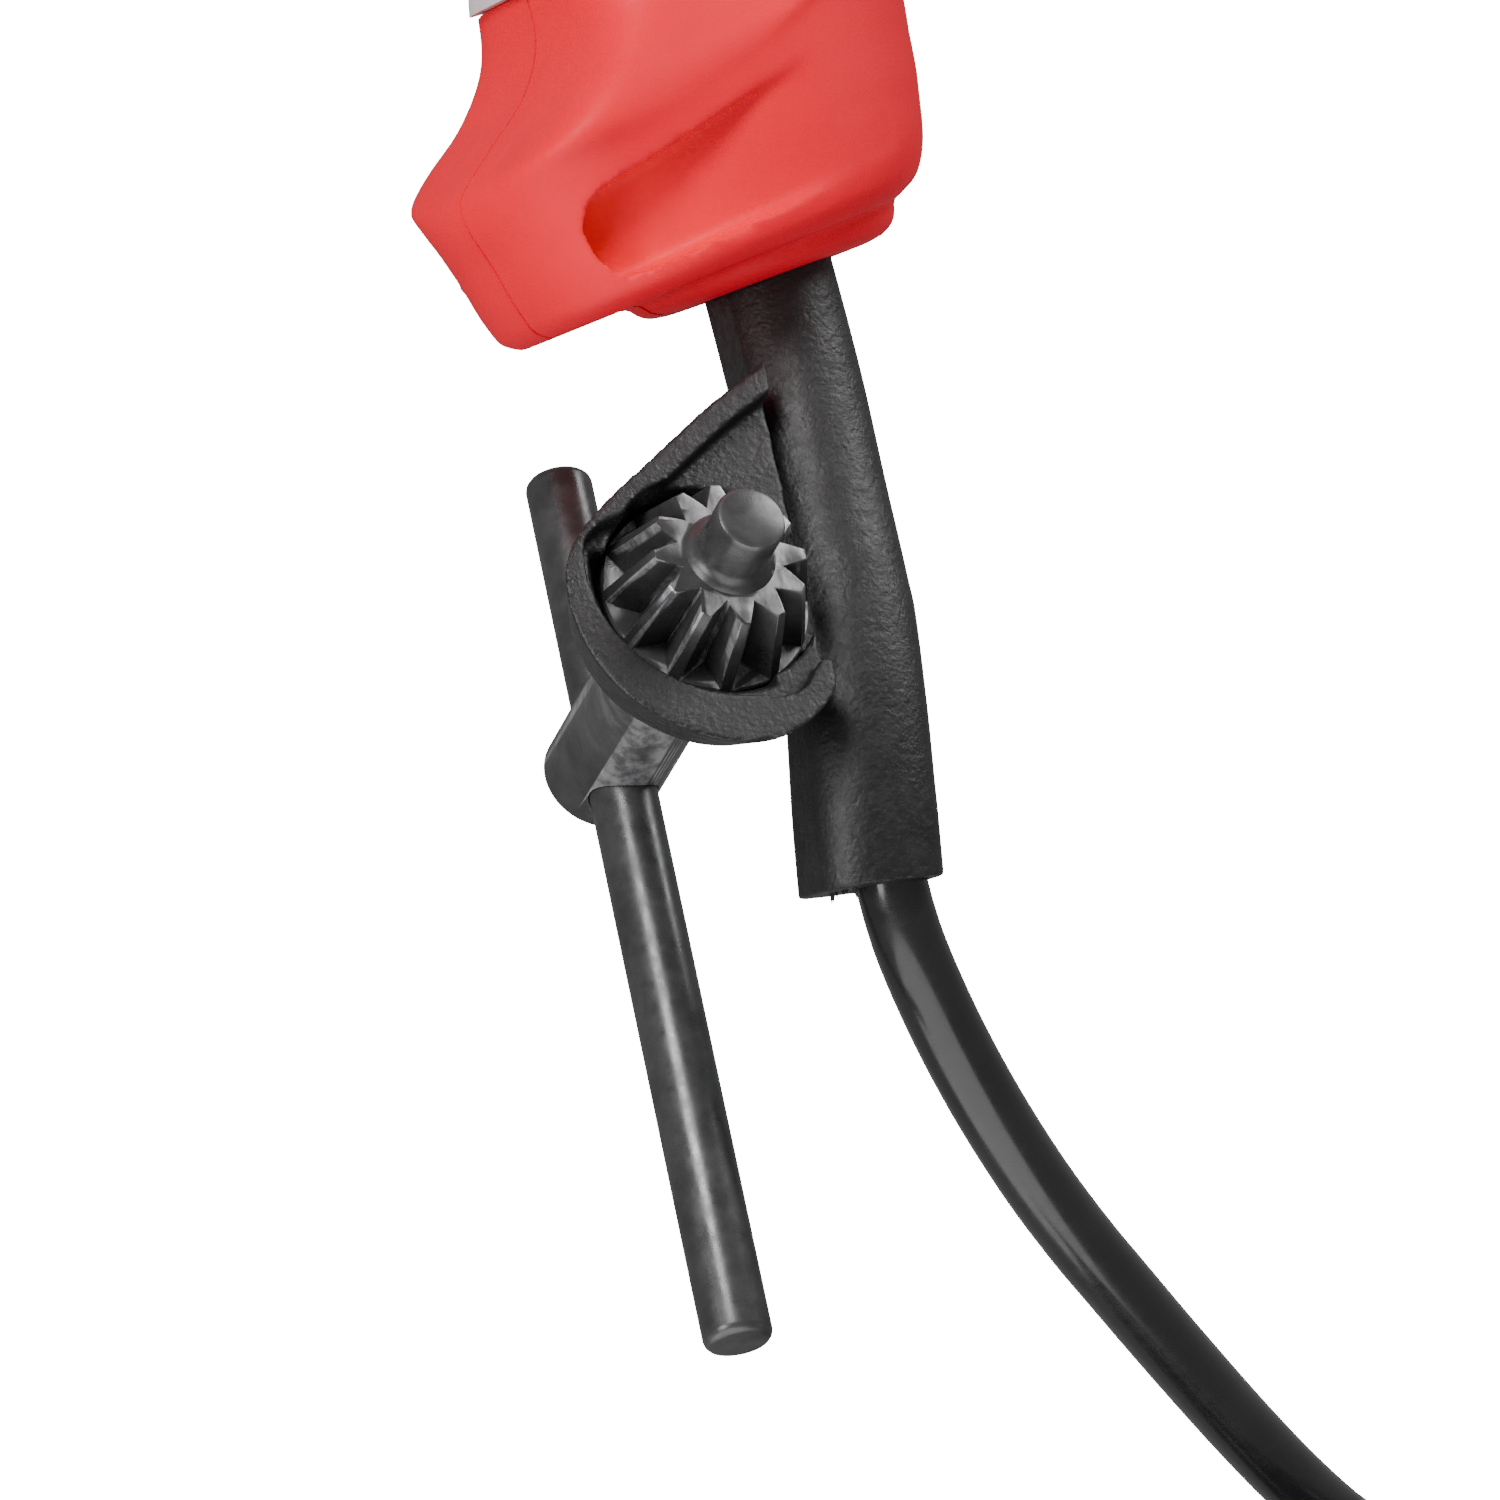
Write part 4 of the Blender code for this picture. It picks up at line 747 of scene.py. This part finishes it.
def hollow():
    rows = [(-45.0, *BARREL[0][1:]), *BARREL[:-1], (89.0, 0.0, 26.0, 27.0, 2.6)]
    space = skin("hollow", [barrel_ring(*row, WALL) for row in rows])
    handle = skin("hollow_handle", [handle_ring(h, *handle_at(h), WALL) for h in range(5, 150, 5)])
    combine(space, [handle], "UNION")
    bosses = [cylinder(f"boss_{i}", p - 40 * LEFT, p + 40 * LEFT, 3.5) for i, p in enumerate(screw_lines())]
    walls = [scoop("scoop_wall_left", 1, SCOOP_WALL), scoop("scoop_wall_right", -1, SCOOP_WALL)]
    combine(space, [*bosses, *walls])
    return applied(space, handle, *bosses, *walls)


def side_at(g, h):
    """How far the handle's side stands from the centre plane."""
    section = h
    for _ in range(6):
        front, rear, width, squareness = handle_at(max(0.0, section))
        section = h - rise(section, g - front)
    middle = front + 0.47 * (rear - front)
    along = (g - middle) / (rear - middle if g > middle else middle - front)
    corner = REAR_SQUARENESS if g > middle else squareness
    return width * max(0.0, 1 - min(1.0, abs(along)) ** corner) ** (1 / corner)


def along_edge(edge, g):
    for (a, low), (b, high) in zip(edge, edge[1:]):
        if a <= g <= b:
            return low + (high - low) * (g - a) / (b - a)
    return edge[-1][1]


def scoop(name, side, wall=0.0):
    """The scooped recess low on one side of the foot: deep at its front end, flush at its rear."""
    first, last = SCOOP_TOP[0][0], SCOOP_TOP[-1][0]
    rings = []
    for i in range(SCOOP_STEPS + 1):
        g = first + (last - first) * i / SCOOP_STEPS
        low, high = along_edge(SCOOP_BASE, g) - wall, along_edge(SCOOP_TOP, g) + wall
        share = max(0.0, (SCOOP_END - g) / (SCOOP_END - first))
        place = g - wall * share
        ring = []
        for k in range(25):
            h = low + (high - low) * k / 24
            l = side_at(max(g, -22.0), h) + 0.12 - SCOOP_DEPTH * share ** 1.6 - wall
            corner = min(k, 24 - k)
            if corner < 2:
                l += (0.9, 0.2)[corner] * min(1.0, SCOOP_DEPTH * share ** 1.6)
            ring.append(foot(place, h, side * l))
        ring += [foot(place, high, side * 30.0), foot(place, low, side * 30.0)]
        rings.append(ring)
    return skin(name, rings)


def exit_boss():
    rings = []
    for h, scale in ((9.0, 1.0), (2.4, 1.0), (1.2, 0.985), (0.2, 0.94), (-0.5, 0.86), (-0.8, 0.74)):
        points = []
        for i in range(RING_POINTS):
            t = math.tau * i / RING_POINTS
            g, l = 17.3 * scale * math.cos(t), 13.5 * scale * math.sin(t)
            points.append(foot(g, h + 0.09 * (g + 17), l))
        rings.append(points)
    return skin("exit_boss", rings)


def vents():
    made = []
    for i in range(4):
        y = -13 + i * 7.8
        made.append(box(f"rear_slot_{i}", (80, y, -5), (120, y + 3.0, AXIS_Z - 9)))
        made.append(box(f"rear_slot_left_{i}", (80, y, AXIS_Z + 9), (120, y + 3.0, 2 * AXIS_Z + 5)))
        x = -25.5 + i * 5.6
        made.append(box(f"flank_slot_{i}", (x, 15, -5), (x + 2.8, 24, 2 * AXIS_Z + 5)))
    return made


def housing():
    """Both red halves, cut from one skin, with edges softened as moulded."""
    handle = skin("skin_handle", [handle_ring(*row) for row in smooth_rows(HANDLE, 0.8)])
    boss = exit_boss()
    pads = box("side_pads", (-28, -13, 0), (40, 13, 2 * AXIS_Z), bevel=1.0)
    inside = hollow()
    openings = [
        inside, cylinder("guard_hole", foot(0, -6), foot(0, 20), GUARD_R + 0.3),
        grip_strip("grip_bed", 38.75, 83.25, 81, 3.0, -1.7),
        box("trigger_window", (-45, -8.6, 84.5), (-6, 8.6, 123.5), HANDLE_FRAME),
        box("lever_slot", (-45, -5.5, 127.0), (-12, 5.5, 132.6), HANDLE_FRAME),
        cylinder("lock_hole", foot(-4, 96, 8), foot(-4, 96, 40), 5.0),
        scoop("scoop_left", 1), scoop("scoop_right", -1), *vents(),
    ]
    heads = [cylinder(f"head_hole_{i}", p - 60 * LEFT, p - 13 * LEFT, 3.8)
             for i, p in enumerate(screw_lines())]
    shell = skin("shell", [barrel_ring(*row) for row in smooth_rows(BARREL, 2.0)])
    combine(shell, [handle, boss, pads], "UNION")
    combine(shell, [*openings, *heads])
    shell = applied(shell, handle, boss, pads, *openings, *heads)
    moulded(shell, 0.55, 5, 0.5)
    shell = applied(shell)
    for name, node, low, high in (("shell_right", "housing_right", AXIS_Z - SPLIT / 2, 140),
                                  ("shell_left", "housing_left", -60, AXIS_Z + SPLIT / 2)):
        half = add(name, shell.data.copy())
        beyond = box(f"beyond_{name}", (-120, -260, low), (160, 90, high))
        combine(half, [beyond], solver="EXACT")
        stands_for(applied(half, beyond), node, smooth=50)
    bpy.data.objects.remove(shell)
    grip = grip_strip("soft_grip", 39, 83, 80, 0.5, -1.4, 0.35)
    stands_for(grip, "front_grip", smooth=60)


def gear_case():
    """The cast gear case with a stepped nose, its grooves and its bore."""
    case = skin("cast_gear_case", [barrel_ring(*row) for row in smooth_rows(GEAR_CASE, 1.5)])
    rings = [ring_groove(f"nose_groove_{i}", x) for i, x in enumerate((-85.5, -89.5, -93.5))]
    bore = cylinder("nose_bore", (-80, SPINDLE_Y, AXIS_Z), (-99, SPINDLE_Y, AXIS_Z), 11.3)
    combine(case, [*rings, bore])
    case = rounded(applied(case, *rings, bore), 0.5, 3, 40)
    stands_for(applied(case), "gear_case", smooth=40)


def ring_groove(name, x):
    """A square ring around the spindle's axis that cuts a groove."""
    place = facing((1, 0, 0), (x, SPINDLE_Y, AXIS_Z))
    rings = []
    for r, z in ((20.8, -0.6), (26.0, -0.6), (26.0, 0.6), (20.8, 0.6)):
        rings.append([place @ (Vector((r * math.cos(t), r * math.sin(t), z)) * MM) / MM
                      for t in (math.tau * i / FINE for i in range(FINE))])
    return skin(name, rings, closed=True)


housing()
gear_case()

# ---- chuck ---------------------------------------------------------------------------------------


def hollow_turned(name, profile, sides, wave=None):
    """A ring about the spindle whose closed profile goes once round its section."""
    place = facing((1, 0, 0), (0, SPINDLE_Y, AXIS_Z))
    rings = []
    for r, z in profile:
        ring = []
        for i in range(sides):
            t = math.tau * i / sides
            here = r + (wave(t, r, z) if wave else 0)
            ring.append(place @ (Vector((here * math.cos(t), here * math.sin(t), z)) * MM) / MM)
        rings.append(ring)
    return skin(name, rings, closed=True)


def knurl(t, r, z):
    """Flutes around the sleeve's grip band."""
    if r < 21.9 or not -146.2 < z < -130.8:
        return 0
    return -0.45 * max(0.0, math.cos(30 * t)) ** 2


def chuck():
    outline = [(18.2, -123.2), (19.4, -124.4), (21.2, -127.6), (22.0, -129.2), (22.0, -130.7), (22.0, -131.4),
               (22.0, -145.6), (22.0, -146.3), (22.0, -147.4), (21.6, -148.6), (20.5, -150.0), (17.4, -150.0),
               (17.4, -123.2)]
    sleeve = hollow_turned("knurled_sleeve", outline, 360, knurl)
    place = facing((1, 0, 0), (0, SPINDLE_Y, AXIS_Z))
    cutters = []
    for i in range(36):
        turn = Matrix.Rotation(math.tau * (i + 0.5) / 36, 4, "Z")
        shape = box(f"tooth_gap_{i}", (16.0, -0.85, -128.4), (26.0, 0.85, -120.0))
        shape.matrix_world = place @ turn
        cutters.append(shape)
    combine(sleeve, cutters)
    sleeve = rounded(applied(sleeve, *cutters), 0.12, 2, 50)
    stands_for(applied(sleeve), "chuck_sleeve", smooth=35)
    profile = [(6.45, -100.9), (19.6, -100.9), (20.4, -101.3), (20.8, -102.1), (20.8, -106.0), (20.4, -106.5),
               (20.4, -107.3), (20.8, -107.8), (20.8, -121.2), (20.3, -121.9), (17.1, -122.0), (17.1, -150.5),
               (16.6, -151.4), (15.5, -152.2), (11.4, -158.6), (10.6, -159.0), (6.6, -159.0), (6.6, -122.0),
               (6.45, -119.0)]
    body = hollow_turned("chuck_core", profile, 96)
    cuts = []
    for i in range(3):
        angle = math.tau * i / 3 + math.pi / 2
        outward = Vector((0, math.sin(angle), math.cos(angle)))
        hole = Vector((-116.0, SPINDLE_Y, AXIS_Z))
        cuts.append(cylinder(f"key_hole_{i}", hole - 11.5 * outward, hole - 26 * outward, 4.5, 40))
        tilt = math.radians(15)
        direction = (math.cos(tilt) * Vector((-1, 0, 0)) - math.sin(tilt) * outward).normalized()
        tip = Vector((-163.0, SPINDLE_Y, AXIS_Z)) + 3.3 * outward
        cuts.append(cylinder(f"jaw_bore_{i}", tip + 12 * direction, tip - 58 * direction, 3.2, 32))
    combine(body, cuts)
    body = rounded(applied(body, *cuts), 0.25, 2, 50)
    stands_for(applied(body), "chuck_body", smooth=35)


chuck()

# ---- cord guard and key --------------------------------------------------------------------------


def guard_section(share, tangent):
    """Points around the guard: round above, and boxier with a flat front strip below its step."""
    side = (KEY_SIDE - KEY_SIDE.dot(tangent) * tangent).normalized()
    across = tangent.cross(side).normalized()
    low = min(1.0, max(0.0, (share - GUARD_STEP) / 0.03))
    square = 2.1 + 0.9 * min(1.0, max(0.0, (share - 0.58) / 0.34))
    shift = -2.4 * max(0.0, (share - 0.62) / 0.38)
    made = []
    for i in range(72):
        t = math.tau * i / 72
        x = GUARD_R * power(math.cos(t), 2 / square)
        y = GUARD_R * power(math.sin(t), 2 / square)
        made.append((max(x, -6.9 - 0.5 * low) + shift) * side + y * across)
    return made


def holder_wall(outer):
    """The inner edge of the cup's rim, which runs round the gear's room at the lower left."""
    inner = []
    for i, (x, y) in enumerate(outer):
        a, b = outer[max(0, i - 1)], outer[min(len(outer) - 1, i + 1)]
        along = Vector((b[0] - a[0], b[1] - a[1])).normalized()
        x, y = x - HOLDER_WALL * along.y, y + HOLDER_WALL * along.x
        snug = CUP_R / math.hypot(x, y)
        clear = min(1.0, max(0.0, abs(math.degrees(math.atan2(-y, -x)) - 40.0) / 25.0 - 2.2))
        scale = snug + (1 - snug) * clear
        inner.append((x * scale, y * scale))
    return inner


def holder():
    """The cup around the gear and the plate behind it."""
    outer = [(p.x, p.y) for p in spaced([(x, y, 0) for x, y in HOLDER], 0.8)]
    outline = [(17.0, 27.0), *outer, (17.0, -12.0)]
    plate_back, rim_top = -HOLDER_BACK - HOLDER_PLATE, HOLDER_RIM - HOLDER_BACK
    cup = prism("holder_cup", outline, plate_back, rim_top, KEY_FRAME, HOLDER_TAPER)
    room = prism("holder_room", [(60.0, 24.0), *holder_wall(outer), (60.0, -11.0)], rim_top - RIM_STEP,
                 rim_top + 0.01, KEY_FRAME)
    far = prism("holder_far", [(RIM_END, 60), (60, 60), (60, -60), (RIM_END, -60)], -40, 30, KEY_FRAME)
    angles = [math.radians(a) for a in range(165, 291, 5)]
    pit = prism("holder_pit", [*((CUP_R * math.cos(a), CUP_R * math.sin(a)) for a in angles), (2.0, 2.0)],
                -HOLDER_BACK, rim_top + 0.02, KEY_FRAME, HOLDER_TAPER)
    combine(cup, [room, far, pit])
    cup = applied(cup, room, far, pit)
    share = HOLDER_TAPER + (1 - HOLDER_TAPER) * HOLDER_PLATE / (HOLDER_PLATE + HOLDER_RIM)
    plate = prism("holder_plate", shrunk(outline, share), plate_back, -HOLDER_BACK, KEY_FRAME,
                  HOLDER_TAPER / share)
    beyond = prism("plate_far", [(14.2, 60), (60, 60), (60, -60), (14.2, -60)], -40, 30, KEY_FRAME)
    combine(plate, [beyond])
    return cup, applied(plate, beyond)


def guard():
    """The rubber guard with the raised cup that holds the key, moulded in one."""
    route = spaced(GUARD_ROUTE, 0.8)
    total, rings = len(route) - 1, []
    for i, p in enumerate(route):
        tangent = (route[min(i + 1, total)] - route[max(i - 1, 0)]).normalized()
        rings.append([p + q for q in guard_section(i / total, tangent)])
    sleeve = skin("rubber_guard", rings)
    cup, plate = holder()
    hole = cylinder("shank_hole", key_point(0, 0, -4), key_point(0, 0, -24), KEY_SHANK_R + 0.3)
    gear_room = cylinder("gear_room", key_point(0, 0, -HOLDER_BACK), key_point(0, 0, 14), KEY_BIG_R + 0.5)
    end, tail = route[-1], (route[-1] - route[-2]).normalized()
    mouth = cylinder("cord_mouth", end - 3.0 * tail, end + 3.0 * tail, CORD_R + 0.15)
    combine(sleeve, [cup, plate], "UNION")
    combine(sleeve, [hole, gear_room, mouth])
    sleeve = applied(sleeve, cup, plate, hole, gear_room, mouth)
    moulded(sleeve, 0.34, 4)
    stands_for(applied(sleeve), "cord_guard", smooth=60)
    flash(end, tail)


def flash(end, tail):
    """Torn bits of moulding skin at the guard's lower edge."""
    dice = random.Random(7)
    side = (KEY_SIDE - KEY_SIDE.dot(tail) * tail).normalized()
    across = tail.cross(side).normalized()
    bm = bmesh.new()
    for i in range(9):
        t = math.radians(150 + 9 * i + dice.uniform(-3, 3))
        x, y = 6.9 * math.cos(t), 6.9 * math.sin(t)
        root = end + x * side + y * across
        wide = Vector((-math.sin(t) * side + math.cos(t) * across)) * dice.uniform(0.35, 0.9)
        deep = -(math.cos(t) * side + math.sin(t) * across) * 0.22
        tip = root + tail * dice.uniform(0.5, 1.7) + wide * dice.uniform(-0.4, 0.4)
        base = [root - wide - tail * 0.4, root + wide - tail * 0.4, root + wide + deep - tail * 0.4,
                root - wide + deep - tail * 0.4]
        corners = [bm.verts.new(p * MM) for p in base]
        top = bm.verts.new(tip * MM)
        bm.faces.new(corners)
        for k in range(4):
            bm.faces.new((corners[k], corners[(k + 1) % 4], top))
    finish_piece(from_bmesh("guard_flash", bm), "cord_guard")


def gear_outline(tip, root, tip_share, root_share):
    """A ring of teeth with flat tips and sharp valleys."""
    pitch = math.tau / KEY_TEETH
    made = []
    for i in range(KEY_TEETH):
        middle = i * pitch
        for k in range(-3, 4):
            made.append((tip, middle + tip_share * pitch * k / 3))
        for k in range(0, 13):
            t = k / 12
            dip = min(1.0, 2 * min(t, 1 - t)) ** 0.85
            across = root_share + (1 - 2 * root_share) * t
            shoulder = tip - (tip - root) * dip
            made.append((shoulder, middle + pitch * across))
    return made


def key():
    """The gear, its flange, pilot and shank, with the bar's hole."""
    rings = []
    sections = ((0.0, 8.8, 6.0, 0.07), (-0.25, 9.0, 6.05, 0.08), (-4.0, 10.3, 6.9, 0.075),
                (-9.1, 12.0, 8.3, 0.065))
    for out, tip, root, tip_share in sections:
        ring = [key_point(r * math.cos(t), r * math.sin(t), out) for r, t in
                gear_outline(tip, root, tip_share, tip_share + 0.05)]
        rings.append(ring)
    gear = skin("key_gear", rings)
    back = -KEY_TOOTH_LENGTH - KEY_FLANGE_LENGTH
    flange = turned("key_flange", (
        (11.8, back), (KEY_FLANGE_R, back + 0.3), (KEY_FLANGE_R, -9.2), (11.9, -8.95)),
        KEY_FACE, KEY_AXIS, 96)
    shank = turned("key_shank", (
        (5.9, -KEY_SHANK_END), (KEY_SHANK_R, -KEY_SHANK_END + 0.9), (KEY_SHANK_R, -6.0), (5.4, -0.4),
        (5.2, 0.1), (4.7, 0.45), (4.25, 1.0), (KEY_PILOT_R, 1.7), (KEY_PILOT_R, KEY_PILOT_LENGTH - 0.7),
        (KEY_PILOT_R - 0.25, KEY_PILOT_LENGTH - 0.2), (KEY_PILOT_R - 0.7, KEY_PILOT_LENGTH)),
        KEY_FACE, KEY_AXIS, 72)
    hole = cylinder("bar_hole", key_point(0, KEY_BAR_UP, -KEY_BAR_BACK),
                    key_point(0, -KEY_BAR_DOWN, -KEY_BAR_BACK), KEY_BAR_R + 0.15, 48)
    combine(gear, [flange, shank], "UNION")
    combine(gear, [hole])
    gear = rounded(applied(gear, flange, shank, hole), 0.26, 3, 40)
    stands_for(applied(gear), "chuck_key", smooth=38)
    low, high = -KEY_BAR_DOWN, KEY_BAR_UP
    bar = turned("key_handle_bar", (
        (2.9, low), (3.45, low + 0.15), (3.8, low + 0.55), (KEY_BAR_R, low + 1.1), (KEY_BAR_R, -12.0),
        (KEY_BAR_R, 12.0), (KEY_BAR_R, high - 1.1), (3.8, high - 0.55), (3.45, high - 0.15), (2.9, high)),
        key_point(0, 0, -KEY_BAR_BACK), KEY_UP, 64)
    stands_for(bar, "key_bar", smooth=38)


guard()
key()

# ---- the CAD's own shapes ------------------------------------------------------------------------

for node_name, shown in frame["nodes"].items():
    shown.data.materials.clear()
    shown.data.materials.append(MATERIALS[SLOT_OF[node_name]])
    shown.data.shade_smooth()
    shown.data.set_sharp_from_angle(angle=math.radians(32))

bpy.context.view_layer.update()
